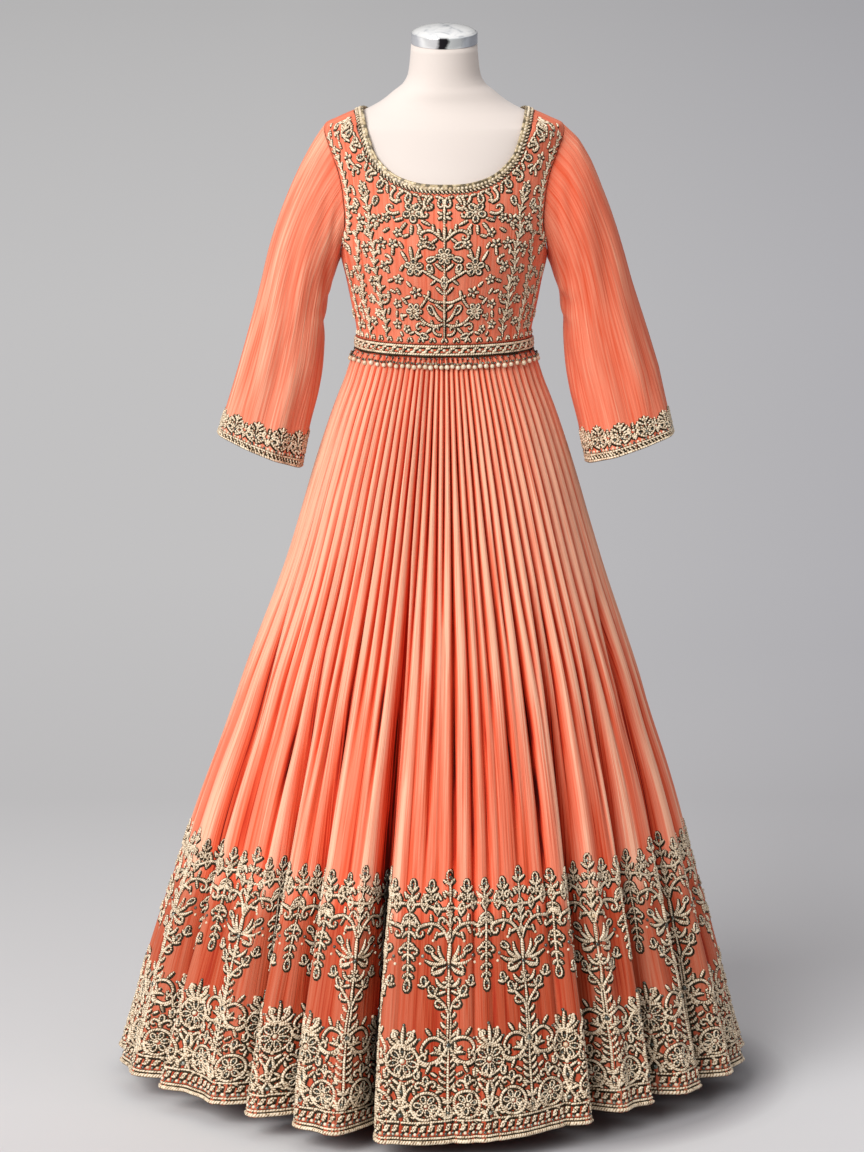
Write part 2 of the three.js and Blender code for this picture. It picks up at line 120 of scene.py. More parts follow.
def ridge_z(x):
    lo, hi = 1376.0, 1440.0
    for _ in range(40):
        m = (lo + hi) / 2
        if side_at(m) > x:
            lo = m
        else:
            hi = m
    return (lo + hi) / 2


NECK_FRONT = [(0, 1303), (36, 1305), (69, 1316), (93, 1338), (103, 1362), (109, 1384), (111.5, 1394.5), (113, 1400)]
NECK_BACK = [(0, 1372), (24, 1373), (46, 1375), (68, 1379), (88, 1385), (103, 1391.5), (109.5, 1397), (113, 1400)]


def neck_phi(neck):
    out = []
    for i, (x, z) in enumerate(neck):
        out.append((90.0 if i == len(neck) - 1 else float(phi_of_x(x, z)), z))
    return out


def binding_edge(neck):
    out = []
    for i, (x, z) in enumerate(neck):
        if i == len(neck) - 1:
            out.append((90.0, ridge_z(x + 0.93 * BINDING_WIDTH)))
        elif i == 0:
            out.append((0.0, z - BINDING_WIDTH))
        else:
            tx, tz = neck[i + 1][0] - neck[i - 1][0], neck[i + 1][1] - neck[i - 1][1]
            n = math.hypot(tx, tz)
            nx, nz = x + tz / n * BINDING_WIDTH, z - tx / n * BINDING_WIDTH
            out.append((float(phi_of_x(nx, nz)), nz))
    return out


EDGE_FRONT, EDGE_BACK = binding_edge(NECK_FRONT), binding_edge(NECK_BACK)
FRONT_ROWS = [(1078, 90, 1078), (1110, 90, 1106), (1146, 90, 1134), (1182, 90, 1162), (1218, 90, 1188),
              (1255, 78, 1206), (1291, 68, 1232), (0, 64.5, 1258), (0, 64, 1284), (0, 66, 1310), (0, 71, 1336),
              (0, 78, 1357), (0, 84.5, 1369), (0, 90, 1376)]
BACK_ROWS = [(1078, 90, 1078), (1125, 90, 1106), (1175, 90, 1134), (1225, 90, 1162), (1275, 90, 1188),
             (1320, 78, 1206), (1360, 69, 1232), (0, 66, 1258), (0, 65.5, 1284), (0, 67, 1310), (0, 72, 1336),
             (0, 79, 1357), (0, 84.5, 1369), (0, 90, 1376)]
SCOOP_ROW = 6

SKIRT = table(["z", "side", "front", "back", "pleat"], [
    (1060, 125, 97, 90, 3.5), (1050, 129, 101, 94, 4.2), (1040, 133, 104, 97, 4.8), (1020, 139.5, 111, 104, 5.6),
    (986, 153, 123, 115, 6.4), (952, 165, 135, 127, 7.0), (917, 176.5, 147, 139, 7.6), (883, 187, 159, 150, 8.0),
    (814, 207, 182, 173, 8.6), (745, 228, 206, 196, 8.6), (675, 251.5, 231, 220, 8.0), (605, 275.5, 256, 245, 7.4),
    (535, 298, 281, 270, 6.8), (465, 323, 306, 294, 6.2), (394, 346, 330, 318, 5.4), (323, 366, 353, 340, 4.6),
    (252, 388, 376, 363, 4.0), (181, 408, 399, 386, 3.6), (109, 425, 417, 406, 3.2), (20, 450, 434, 426, 3.0)])
skirt_col = {c: curve(SKIRT, "z", c) for c in ("side", "front", "back", "pleat")}
FOLDS = table(["phi", "depth", "top", "lean"], [
    (-168, 34, 620, -4.5), (-150, 26, 520, -4), (-133, 40, 700, -5), (-108, 30, 560, -4), (-88, 28, 540, 4), (-69, 46, 720, 5),
    (-44.5, 42, 660, 5), (-32.5, 34, 600, 4), (-14.8, 50, 800, 3.5), (36.6, 48, 760, -5), (54.0, 48, 700, -5), (68.5, 50, 740, -5),
    (88, 30, 580, -4), (108, 38, 660, 4.5), (128, 28, 520, 4), (156, 40, 640, 5), (174, 26, 500, 4)])


# pleat number to direction
def pleat_count(phi):
    total = 360 * 0.4 + 4 * 0.6 * 180 / math.pi
    q = np.floor((phi + 90) / 180)
    r = phi - q * 180
    return PLEATS * (0.4 * phi + 0.6 * 180 / math.pi * (2 * q + np.sin(rad(r)))) / total


_PHI = np.linspace(-420, 420, 16801)
_CNT = pleat_count(_PHI)


def pleat_phi(k):
    return np.interp(k, _CNT, _PHI)


# each valley between two pleats has its own depth, wander and life
_n = np.arange(PLEATS)
V_DEPTH = 0.86 + 0.5 * RNG.random(PLEATS)
V_KEEP = np.where(RNG.random(PLEATS) < 0.66, 0.05 + 0.22 * RNG.random(PLEATS), 0.60 + 0.5 * RNG.random(PLEATS))
V_FADE = 410 + 380 * RNG.random(PLEATS)
V_SHIFT = 0.28 * (RNG.random(PLEATS) - 0.5)
V_WAVE = RNG.random(PLEATS) * 6.28
V_LEN = 160 + 160 * RNG.random(PLEATS)


def ang(a):
    return (a + 540) % 360 - 180


def skirt_base(phi, z):
    s, c = np.sin(rad(phi)), np.cos(rad(phi))
    a = skirt_col["side"](z)
    b = np.where(c >= 0, skirt_col["front"](z), skirt_col["back"](z))
    low = smooth((950 - z) / 800)
    wide = 1 + 0.022 * smooth((800 - z) / 200) * np.maximum(0, -s) ** 2
    return wide / np.hypot(s / a, c / b) * (1 - 0.10 * low * np.sin(rad(2 * phi)) ** 2)


def skirt_surface(k, z):
    """Outer face of the skirt. k counts pleats round from the centre front, z is the height of the plain cone there."""
    k, z = np.broadcast_arrays(np.asarray(k, float), np.asarray(z, float))
    phi = pleat_phi(k)
    dip = HEM_DIP * np.exp(-((ang(phi) / 28) ** 2)) * smooth((500 - z) / 500)
    z = z - dip
    # wandering of the valleys
    j = np.round(k).astype(int)
    jm = np.mod(j, PLEATS)
    wander = V_SHIFT[jm] * smooth((1000 - z) / 300) + 0.10 * np.sin(z / V_LEN[jm] + V_WAVE[jm]) * smooth((1000 - z) / 400)
    t = k - j
    # shift the valley without moving the middle of the pleats
    t = t - wander * (1 - (2 * np.abs(t)) ** 2)
    pleat = skirt_col["pleat"](z)
    life = 1 - (1 - V_KEEP[jm]) * smooth((V_FADE[jm] + 130 - z) / 260)
    depth = pleat * V_DEPTH[jm] * life * (1.05 + 0.95 * smooth((1020 - z) / 120) - 0.35 * smooth((560 - z) / 300))
    v = 1 - np.abs(np.sin(math.pi * np.clip(t, -0.5, 0.5))) ** 0.66
    r = skirt_base(phi, z) - depth * v
    # broad soft lobes where several pleats join
    lobe = smooth((640 - z) / 420)
    r = r - lobe * (2.4 + 2.4 * np.sin(k * 1.31 + 1.7 * np.sin(z / 330.0)) + 1.3 * np.sin(k * 2.17 + z / 210.0))
    shift = np.zeros_like(r)
    for f in FOLDS:
        d = ang(phi - f["phi"])
        w = np.clip((f["top"] - z) / (f["top"] - HEM_Z), 0, 1) ** 1.05
        g = np.exp(-(np.abs(d / (1.85 + 0.4 * w)) ** 1.9))
        r = r - 1.75 * f["depth"] * w * g
        shift = shift + 0.72 * f["lean"] * w * g
        # the crests beside a deep fold roll up a little
        r = r + 0.20 * f["depth"] * w * np.exp(-(((np.abs(d) - 4.9) / 2.6) ** 2))
    phi2 = phi + shift
    return np.stack([r * np.sin(rad(phi2)) + HEM_SHIFT_X * smooth((700 - z) / 700), -r * np.cos(rad(phi2)), z], -1)


SLEEVE = table(["t", "outX", "outZ", "inX", "inZ", "half", "seam"], [
    (0, 166, 1376, 145, 1188, 55, 1), (1, 180, 1356, 148.5, 1180, 57, 0.6), (2, 197, 1326, 153, 1166, 58, 0.25),
    (3, 215, 1288, 158.5, 1149, 57, 0), (4, 231, 1247, 164, 1127, 55, 0), (5, 245, 1203, 167, 1101, 53, 0),
    (6, 258, 1152, 168.5, 1074, 52, 0), (7, 274, 1094, 172, 1040, 51, 0), (8, 291, 1034, 179, 1000, 50, 0),
    (9, 307, 981, 191, 950, 50, 0), (10, 320, 940, 202, 891, 51, 0)])
LEFT_OUT, LEFT_UP = [0, 7, 8, 6, 6, 6, 7, 9, 11, 8, 5], [0, 0, 0, 0, 0, 0, 0, 0, 1, 3, 7]
sleeve_col = {c: curve(SLEEVE, "t", c) for c in ("outX", "outZ", "inX", "inZ", "half", "seam")}


def arm_curve(rows):
    q = [dict(t=i / 9, phi=r[1], z=r[2]) for i, r in enumerate(rows[4:])]
    return curve(q, "t", "phi"), curve(q, "t", "z")


ARM_F, ARM_B = arm_curve(FRONT_ROWS), arm_curve(BACK_ROWS)


def armhole(t):
    t = np.mod(np.asarray(t, float), 1.0)
    back = t > 0.5
    v = np.where(back, (t - 0.5) * 2, 1 - t * 2)
    phi = np.where(back, 180 - ARM_B[0](v), ARM_F[0](v))
    z = np.where(back, ARM_B[1](v), ARM_F[1](v))
    return torso(phi, z)


# creases of the sleeves: place round (0 outer, .25 front, .5 inner), place along, tilt, length, width, depth
CREASES = table(["t", "v", "tilt", "len", "wide", "depth"], [
    (0.17, 4.6, 0.020, 3.6, 0.040, 5.0), (0.27, 6.4, -0.012, 3.2, 0.034, 4.2), (0.36, 3.0, 0.030, 1.6, 0.034, 4.6),
    (0.43, 4.2, -0.045, 1.2, 0.040, 6.5), (0.47, 5.2, -0.060, 0.8, 0.05, 6.0), (0.09, 7.4, 0.010, 2.6, 0.036, 4.0),
    (0.33, 8.4, 0.008, 1.9, 0.034, 3.6), (0.21, 8.0, 0.006, 2.4, 0.028, 3.0), (0.41, 7.4, -0.010, 2.2, 0.034, 3.8),
    (0.62, 4.4, 0.020, 3.0, 0.040, 4.6), (0.74, 6.2, -0.014, 3.4, 0.036, 4.6), (0.85, 4.8, 0.016, 3.0, 0.040, 4.2),
    (0.67, 8.2, 0.008, 2.0, 0.034, 3.6), (0.93, 7.0, -0.012, 2.6, 0.036, 3.6), (0.55, 3.6, 0.050, 1.0, 0.045, 5.0),
    (0.22, 1.6, 0.03, 1.2, 0.03, 3.0), (0.30, 1.4, 0.04, 1.2, 0.028, 2.6), (0.78, 1.6, -0.03, 1.2, 0.03, 2.8),
    (0.13, 1.2, 0.02, 1.0, 0.03, 2.0), (0.02, 5.6, 0.0, 3.0, 0.035, 3.2)])


def sleeve_surface(t, v, s, flip=0.0):
    t, v = np.broadcast_arrays(np.asarray(t, float), np.asarray(v, float))
    a = t * 2 * math.pi
    ox, oz, ix, iz, half = (sleeve_col[c](v) for c in ("outX", "outZ", "inX", "inZ", "half"))
    seam = sleeve_col["seam"](v)
    if s > 0:
        ox = ox + np.interp(v, np.arange(11), LEFT_OUT)
        iz = iz + np.interp(v, np.arange(11), LEFT_UP)
    cx, cz, ux, uz = (ox + ix) / 2, (oz + iz) / 2, (ox - ix) / 2, (oz - iz) / 2
    p = np.stack([cx + ux * np.cos(a), -half * np.sin(a), cz + uz * np.cos(a)], -1)
    h = armhole(t)
    mid0 = np.array([155.0, 0, 1283.0])
    h = h + 0.5 * unit(mid0 - h)
    h[..., 0] += 0.6
    base = np.stack([155.5 + 10.5 * np.cos(a), -55 * np.sin(a), 1282 + 94 * np.cos(a)], -1)
    p = p + (h - base) * seam[..., None]
    c = np.stack([cx, 0 * cx, cz], -1)
    out = unit(p - c)
    d = np.zeros_like(t)
    for q in CREASES:
        tt = q["t"] + flip
        e = np.mod(t - tt - q["tilt"] * (v - q["v"]) + 0.5, 1.0) - 0.5
        d = d - 0.7 * q["depth"] * np.exp(-((e / q["wide"]) ** 2)) * np.exp(-(((v - q["v"]) / (0.62 * q["len"])) ** 2))
        for side in (-1, 1):
            e2 = e - side * 1.9 * q["wide"]
            d = d + 0.28 * q["depth"] * np.exp(-((e2 / q["wide"]) ** 2)) * np.exp(-(((v - q["v"]) / (0.6 * q["len"])) ** 2))
    d = d + 1.4 * np.sin(a * 5 + v * 0.5 + flip * 9) * smooth((v - 5) / 4) + 1.0 * np.sin(a * 9 - v * 0.35) * smooth((v - 3) / 5)
    d = d * smooth(v / 1.0)
    p = p + out * d[..., None]
    p[..., 0] *= s
    return p


# ------------------------------------------------------------------ mesh helpers
def mesh_object(name, verts, faces, uv=None, material=None, smooth_shade=True, painted_light_and_tone=0.55):
    """verts in millimetres, faces an int array (n, 3 or 4); uv per vertex in metres."""
    verts = np.asarray(verts, np.float64) * MM
    faces = np.asarray(faces, np.int32)
    me = bpy.data.meshes.new(name)
    n, w = faces.shape
    me.vertices.add(len(verts))
    me.vertices.foreach_set("co", verts.astype(np.float32).ravel())
    me.loops.add(n * w)
    me.loops.foreach_set("vertex_index", faces.ravel())
    me.polygons.add(n)
    me.polygons.foreach_set("loop_start", np.arange(0, n * w, w, dtype=np.int32))
    me.polygons.foreach_set("loop_total", np.full(n, w, np.int32))
    me.polygons.foreach_set("use_smooth", np.full(n, smooth_shade))
    if uv is not None:
        layer = me.uv_layers.new(name="UVMap")
        layer.data.foreach_set("uv", np.asarray(uv, np.float32)[faces.ravel()].ravel())
    # painted light and tone: one level per vertex, read by the cloth and cord materials; where a piece sets it, it
    # carries painted highlight and painted shade
    at = me.attributes.new("painted_light_and_tone", "FLOAT", "POINT")
    at.data.foreach_set("value", np.broadcast_to(np.asarray(painted_light_and_tone, np.float32), (len(verts),)).astype(np.float32).copy())
    me.update(calc_edges=True)
    me.validate()
    ob = bpy.data.objects.new(name, me)
    bpy.context.scene.collection.objects.link(ob)
    if material is not None:
        me.materials.append(material)
    return ob


def grid_faces(rows, cols, closed=False, base=0):
    """Faces of a grid of rows x cols points stored row by row; columns run round."""
    c = cols if closed else cols - 1
    j, i = np.meshgrid(np.arange(rows - 1), np.arange(c), indexing="ij")
    a = j * cols + i
    b = j * cols + (i + 1) % cols
    return np.stack([a, b, b + cols, a + cols], -1).reshape(-1, 4) + base


def normals_of(P, closed=False):
    if closed:
        du = np.roll(P, -1, 1) - np.roll(P, 1, 1)
    else:
        du = np.gradient(P, axis=1)
    dv = np.gradient(P, axis=0)
    return unit(np.cross(du, dv))


def shell(P, thick, closed=False, sign=1.0):
    """Thin shell: outer grid P (rows x cols), inner grid moved in by thick, edges closed with a small roll."""
    N = normals_of(P, closed) * sign
    Q = P - N * thick
    rows, cols = P.shape[:2]
    V = np.concatenate([P.reshape(-1, 3), Q.reshape(-1, 3)])
    F = grid_faces(rows, cols, closed)
    G = grid_faces(rows, cols, closed, rows * cols)[:, ::-1]
    n = rows * cols
    parts = [F, G]
    c = cols if closed else cols - 1
    i = np.arange(c)
    k = (i + 1) % cols
    parts.append(np.stack([k, i, i + n, k + n], -1))
    o = (rows - 1) * cols
    parts.append(np.stack([o + i, o + k, o + k + n, o + i + n], -1))
    if not closed:
        j = np.arange(rows - 1) * cols
        parts.append(np.stack([j, j + cols, j + cols + n, j + n], -1))
        j = j + cols - 1
        parts.append(np.stack([j + cols, j, j + n, j + cols + n], -1))
    F = np.concatenate(parts)
    if sign < 0:
        F = F[:, ::-1]
    return V, F, N


def place(ob, node=None):
    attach(ob, "root")
    if node:
        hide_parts(*([node] if isinstance(node, str) else node))
    return ob


# ------------------------------------------------------------------ materials
def new_mat(name):
    m = bpy.data.materials.new(name)
    m.use_nodes = True
    nt = m.node_tree
    bsdf = nt.nodes.get("Principled BSDF")
    return m, nt, bsdf


def node(nt, kind, **props):
    n = nt.nodes.new(kind)
    for k, v in props.items():
        if k == "ins":
            for a, b in v.items():
                n.inputs[a].default_value = b
        else:
            setattr(n, k, v)
    return n


def ramp(nt, stops):
    n = nt.nodes.new("ShaderNodeValToRGB")
    e = n.color_ramp.elements
    while len(e) < len(stops):
        e.new(0.5)
    for q, (pos, col) in zip(e, stops):
        q.position = pos
        q.color = (*col, 1.0)
    return n


def crepe_material():
    m, nt, b = new_mat("coral_crepe")
    L = nt.links.new
    tc = node(nt, "ShaderNodeTexCoord")
    # fine streaks that run down the cloth
    mp = node(nt, "ShaderNodeMapping")
    mp.inputs["Scale"].default_value = (300.0, 7.0, 1.0)
    L(tc.outputs["UV"], mp.inputs["Vector"])
    streak = node(nt, "ShaderNodeTexNoise", ins={"Scale": 1.0, "Detail": 3.0, "Roughness": 0.55, "Distortion": 0.15})
    L(mp.outputs["Vector"], streak.inputs["Vector"])
    mp2 = node(nt, "ShaderNodeMapping")
    mp2.inputs["Scale"].default_value = (105.0, 4.0, 1.0)
    L(tc.outputs["UV"], mp2.inputs["Vector"])
    band = node(nt, "ShaderNodeTexNoise", ins={"Scale": 1.0, "Detail": 2.0, "Roughness": 0.5, "Distortion": 0.3})
    L(mp2.outputs["Vector"], band.inputs["Vector"])
    mp3 = node(nt, "ShaderNodeMapping")
    mp3.inputs["Scale"].default_value = (1400.0, 900.0, 1.0)
    L(tc.outputs["UV"], mp3.inputs["Vector"])
    weave = node(nt, "ShaderNodeTexNoise", ins={"Scale": 1.0, "Detail": 2.0, "Roughness": 0.6})
    L(mp3.outputs["Vector"], weave.inputs["Vector"])
    # colour ramp from red-black to pale coral: the dark end is painted shade in folds, the pale end a painted highlight
    # on ridges
    cr = ramp(nt, [(0.0, (0.075, 0.004, 0.002)), (0.07, (0.35, 0.013, 0.004)), (0.16, (0.59, 0.040, 0.011)), (0.34, (0.76, 0.102, 0.039)), (0.54, (0.84, 0.172, 0.090)), (0.76, (0.89, 0.258, 0.153)), (1.0, (0.95, 0.48, 0.32))])
    mp4 = node(nt, "ShaderNodeMapping")
    mp4.inputs["Scale"].default_value = (270.0, 5.0, 1.0)
    mp4.inputs["Location"].default_value = (3.0, 1.7, 0.0)
    L(tc.outputs["UV"], mp4.inputs["Vector"])
    crinkle = node(nt, "ShaderNodeTexNoise", ins={"Scale": 1.0, "Detail": 1.0, "Roughness": 0.4, "Distortion": 0.5})
    L(mp4.outputs["Vector"], crinkle.inputs["Vector"])
    crush = ramp(nt, [(0.38, (0, 0, 0)), (0.52, (1, 1, 1))])
    L(crinkle.outputs["Fac"], crush.inputs["Fac"])
    mix = node(nt, "ShaderNodeMix", data_type="FLOAT")
    mix.inputs["Factor"].default_value = 0.28
    L(streak.outputs["Fac"], mix.inputs[2])
    L(band.outputs["Fac"], mix.inputs[3])
    # painted light: the per-vertex level lightens the cloth on ridges and darkens it in folds (painted highlight and
    # painted shade); on the bodice, waist band and inner faces it is a fixed level
    painted_light_and_tone = node(nt, "ShaderNodeAttribute", attribute_name="painted_light_and_tone")
    vary = node(nt, "ShaderNodeMath", operation="MULTIPLY_ADD")
    vary.inputs[1].default_value = 0.9
    L(mix.outputs[0], vary.inputs[0])
    low = node(nt, "ShaderNodeMath", operation="SUBTRACT")
    low.inputs[1].default_value = 0.58
    L(painted_light_and_tone.outputs["Fac"], low.inputs[0])
    L(low.outputs["Value"], vary.inputs[2])
    line = node(nt, "ShaderNodeMath", operation="MULTIPLY_ADD")
    line.inputs[1].default_value = 0.17
    L(crush.outputs["Color"], line.inputs[0])
    L(vary.outputs["Value"], line.inputs[2])
    L(line.outputs["Value"], cr.inputs["Fac"])
    # painted shade: the cloth is darker in the embroidered hem border
    hem_painted_shade = node(nt, "ShaderNodeAttribute", attribute_name="hem_painted_shade")
    deep = node(nt, "ShaderNodeMix", data_type="RGBA", blend_type="MULTIPLY")
    L(hem_painted_shade.outputs["Fac"], deep.inputs["Factor"])
    L(cr.outputs["Color"], deep.inputs[6])
    deep.inputs[7].default_value = (0.63, 0.70, 0.68, 1)
    L(deep.outputs[2], b.inputs["Base Color"])
    rr = node(nt, "ShaderNodeMapRange")
    rr.inputs["To Min"].default_value = 0.50
    rr.inputs["To Max"].default_value = 0.72
    L(streak.outputs["Fac"], rr.inputs["Value"])
    L(rr.outputs["Result"], b.inputs["Roughness"])
    b1 = node(nt, "ShaderNodeBump", ins={"Strength": 0.9, "Distance": 0.002})
    L(mix.outputs[0], b1.inputs["Height"])
    b2 = node(nt, "ShaderNodeBump", ins={"Strength": 0.25, "Distance": 0.0002})
    L(weave.outputs["Fac"], b2.inputs["Height"])
    L(b1.outputs["Normal"], b2.inputs["Normal"])
    L(b2.outputs["Normal"], b.inputs["Normal"])
    b.inputs["Sheen Weight"].default_value = 0.05
    b.inputs["Sheen Roughness"].default_value = 0.35
    b.inputs["Sheen Tint"].default_value = (1.0, 0.58, 0.40, 1)
    b.inputs["Specular IOR Level"].default_value = 0.14
    b.inputs["Subsurface Weight"].default_value = 0.0
    return m


def cord_material(name, lo, hi, metal, rough, scale=120.0):
    m, nt, b = new_mat(name)
    L = nt.links.new
    tc = node(nt, "ShaderNodeTexCoord")
    mp = node(nt, "ShaderNodeMapping")
    mp.inputs["Scale"].default_value = (scale, scale * 0.6, 1.0)
    mp.inputs["Rotation"].default_value = (0, 0, 0.7)
    L(tc.outputs["UV"], mp.inputs["Vector"])
    wave = node(nt, "ShaderNodeTexWave", ins={"Scale": 1.0, "Distortion": 1.2, "Detail": 2.0})
    L(mp.outputs["Vector"], wave.inputs["Vector"])
    no = node(nt, "ShaderNodeTexNoise", ins={"Scale": 165.0, "Detail": 2.0})
    L(tc.outputs["Object"], no.inputs["Vector"])
    mix = node(nt, "ShaderNodeMix", data_type="FLOAT")
    mix.inputs["Factor"].default_value = 0.72
    L(wave.outputs["Fac"], mix.inputs[2])
    L(no.outputs["Fac"], mix.inputs[3])
    mid = tuple(0.5 * (p + q) for p, q in zip(lo, hi))
    cr = ramp(nt, [(0.30, tuple(0.25 * p for p in lo)), (0.39, lo), (0.47, mid), (0.58, hi)])
    L(mix.outputs[0], cr.inputs["Fac"])
    # painted shade: the cord colour is multiplied by the per-vertex painted light level, so hem cords darken deep in
    # the skirt's folds
    shade = node(nt, "ShaderNodeAttribute", attribute_name="painted_light_and_tone")
    dim = node(nt, "ShaderNodeMix", data_type="RGBA", blend_type="MULTIPLY")
    dim.inputs["Factor"].default_value = 1.0
    L(cr.outputs["Color"], dim.inputs[6])
    L(shade.outputs["Fac"], dim.inputs[7])
    L(dim.outputs[2], b.inputs["Base Color"])
    b.inputs["Metallic"].default_value = metal
    b.inputs["Roughness"].default_value = rough
    bp = node(nt, "ShaderNodeBump", ins={"Strength": 0.5, "Distance": 0.0004})
    L(wave.outputs["Fac"], bp.inputs["Height"])
    L(bp.outputs["Normal"], b.inputs["Normal"])
    return m


def stone_material():
    m, nt, b = new_mat("embroidery_stone")
    tc = node(nt, "ShaderNodeTexCoord")
    no = node(nt, "ShaderNodeTexNoise", ins={"Scale": 160.0, "Detail": 1.0})
    nt.links.new(tc.outputs["Object"], no.inputs["Vector"])
    cr = ramp(nt, [(0.42, (0.015, 0.020, 0.012)), (0.56, (0.06, 0.07, 0.045)), (0.68, (0.34, 0.34, 0.27))])
    nt.links.new(no.outputs["Fac"], cr.inputs["Fac"])
    nt.links.new(cr.outputs["Color"], b.inputs["Base Color"])
    b.inputs["Roughness"].default_value = 0.12
    b.inputs["Specular IOR Level"].default_value = 0.8
    b.inputs["Coat Weight"].default_value = 0.5
    return m


def pearl_material():
    m, nt, b = new_mat("pearl_beads")
    tc = node(nt, "ShaderNodeTexCoord")
    no = node(nt, "ShaderNodeTexNoise", ins={"Scale": 90.0, "Detail": 1.0})
    nt.links.new(tc.outputs["Object"], no.inputs["Vector"])
    cr = ramp(nt, [(0.3, (0.66, 0.50, 0.32)), (0.7, (0.90, 0.78, 0.60))])
    nt.links.new(no.outputs["Fac"], cr.inputs["Fac"])
    nt.links.new(cr.outputs["Color"], b.inputs["Base Color"])
    b.inputs["Roughness"].default_value = 0.22
    b.inputs["Coat Weight"].default_value = 0.4
    b.inputs["Coat Roughness"].default_value = 0.1
    return m


def jersey_material():
    m, nt, b = new_mat("form_cover")
    L = nt.links.new
    tc = node(nt, "ShaderNodeTexCoord")
    no = node(nt, "ShaderNodeTexNoise", ins={"Scale": 5.0, "Detail": 2.0})
    L(tc.outputs["Object"], no.inputs["Vector"])
    cr = ramp(nt, [(0.3, (0.765, 0.68, 0.63)), (0.7, (0.80, 0.72, 0.67))])
    L(no.outputs["Fac"], cr.inputs["Fac"])
    L(cr.outputs["Color"], b.inputs["Base Color"])
    wv = node(nt, "ShaderNodeTexNoise", ins={"Scale": 1500.0, "Detail": 1.0})
    L(tc.outputs["Object"], wv.inputs["Vector"])
    bp = node(nt, "ShaderNodeBump", ins={"Strength": 0.25, "Distance": 0.0002})
    L(wv.outputs["Fac"], bp.inputs["Height"])
    L(bp.outputs["Normal"], b.inputs["Normal"])
    b.inputs["Roughness"].default_value = 0.8
    b.inputs["Sheen Weight"].default_value = 0.25
    b.inputs["Sheen Roughness"].default_value = 0.5
    b.inputs["Specular IOR Level"].default_value = 0.25
    return m


def metal_material(name, col, rough):
    m, nt, b = new_mat(name)
    L = nt.links.new
    tc = node(nt, "ShaderNodeTexCoord")
    no = node(nt, "ShaderNodeTexNoise", ins={"Scale": 22.0, "Detail": 3.0})
    L(tc.outputs["Object"], no.inputs["Vector"])
    mr = node(nt, "ShaderNodeMapRange")
    mr.inputs["To Min"].default_value = rough * 0.7
    mr.inputs["To Max"].default_value = rough * 1.5
    L(no.outputs["Fac"], mr.inputs["Value"])
    L(mr.outputs["Result"], b.inputs["Roughness"])
    b.inputs["Base Color"].default_value = (*col, 1)
    b.inputs["Metallic"].default_value = 1.0
    bp = node(nt, "ShaderNodeBump", ins={"Strength": 0.08, "Distance": 0.0005})
    L(no.outputs["Fac"], bp.inputs["Height"])
    L(bp.outputs["Normal"], b.inputs["Normal"])
    return m


def cap_material():
    """Polished metal with painted reflections: a clouded bright top and dark and light patches round its rim, set in
    the base colour.
    """
    m, nt, b = new_mat("chrome_cap")
    L = nt.links.new
    tc = node(nt, "ShaderNodeTexCoord")
    no = node(nt, "ShaderNodeTexNoise", ins={"Scale": 55.0, "Detail": 4.0, "Roughness": 0.6, "Distortion": 0.6})
    L(tc.outputs["Object"], no.inputs["Vector"])
    # painted reflection on the top: clouded grey to white
    top = ramp(nt, [(0.34, (0.50, 0.52, 0.54)), (0.43, (0.86, 0.87, 0.88)), (0.52, (1.0, 1.0, 0.99))])
    L(no.outputs["Fac"], top.inputs["Fac"])
    # painted reflection round the side band, from object X: grey at the far left, then white, a dark band near the
    # middle, white again, then bluish grey toward the right
    sep = node(nt, "ShaderNodeSeparateXYZ")
    L(tc.outputs["Object"], sep.inputs["Vector"])
    wob = node(nt, "ShaderNodeMath", operation="MULTIPLY_ADD")
    wob.inputs[1].default_value = 0.012
    L(no.outputs["Fac"], wob.inputs[0])
    L(sep.outputs["X"], wob.inputs[2])
    mr = node(nt, "ShaderNodeMapRange")
    mr.inputs["From Min"].default_value = -0.050
    mr.inputs["From Max"].default_value = 0.055
    L(wob.outputs["Value"], mr.inputs["Value"])
    rim = ramp(nt, [(0.0, (0.36, 0.37, 0.39)), (0.17, (0.62, 0.63, 0.67)), (0.25, (1.0, 1.0, 1.0)), (0.43, (0.95, 0.94, 0.96)), (0.47, (0.025, 0.02, 0.025)), (0.56, (0.02, 0.018, 0.022)), (0.60, (0.92, 0.95, 0.95)), (0.72, (0.85, 0.88, 0.90)), (0.80, (0.50, 0.53, 0.58)), (1.0, (0.38, 0.40, 0.44))])
    L(mr.outputs["Result"], rim.inputs["Fac"])
    lean = math.radians(CAP_TILT)
    axis = node(nt, "ShaderNodeVectorMath", operation="DOT_PRODUCT")
    axis.inputs[1].default_value = (0.0, -math.sin(lean), math.cos(lean))
    L(tc.outputs["Object"], axis.inputs[0])
    level = ((NECK_TOP + GAP) * math.cos(lean) + CAP_SIDE - 0.6) * MM
    up = node(nt, "ShaderNodeMapRange")
    up.inputs["From Min"].default_value = level - 0.0010
    up.inputs["From Max"].default_value = level + 0.0010
    L(axis.outputs["Value"], up.inputs["Value"])
    mix = node(nt, "ShaderNodeMix", data_type="RGBA")
    L(up.outputs["Result"], mix.inputs["Factor"])
    L(rim.outputs["Color"], mix.inputs[6])
    L(top.outputs["Color"], mix.inputs[7])
    L(mix.outputs[2], b.inputs["Base Color"])
    b.inputs["Metallic"].default_value = 0.45
    b.inputs["Roughness"].default_value = 0.16
    bp = node(nt, "ShaderNodeBump", ins={"Strength": 0.15, "Distance": 0.0006})
    L(no.outputs["Fac"], bp.inputs["Height"])
    L(bp.outputs["Normal"], b.inputs["Normal"])
    return m


CREPE = crepe_material()
CORD = cord_material("embroidery_cord", (0.50, 0.31, 0.16), (1.0, 0.86, 0.65), 0.0, 0.42)
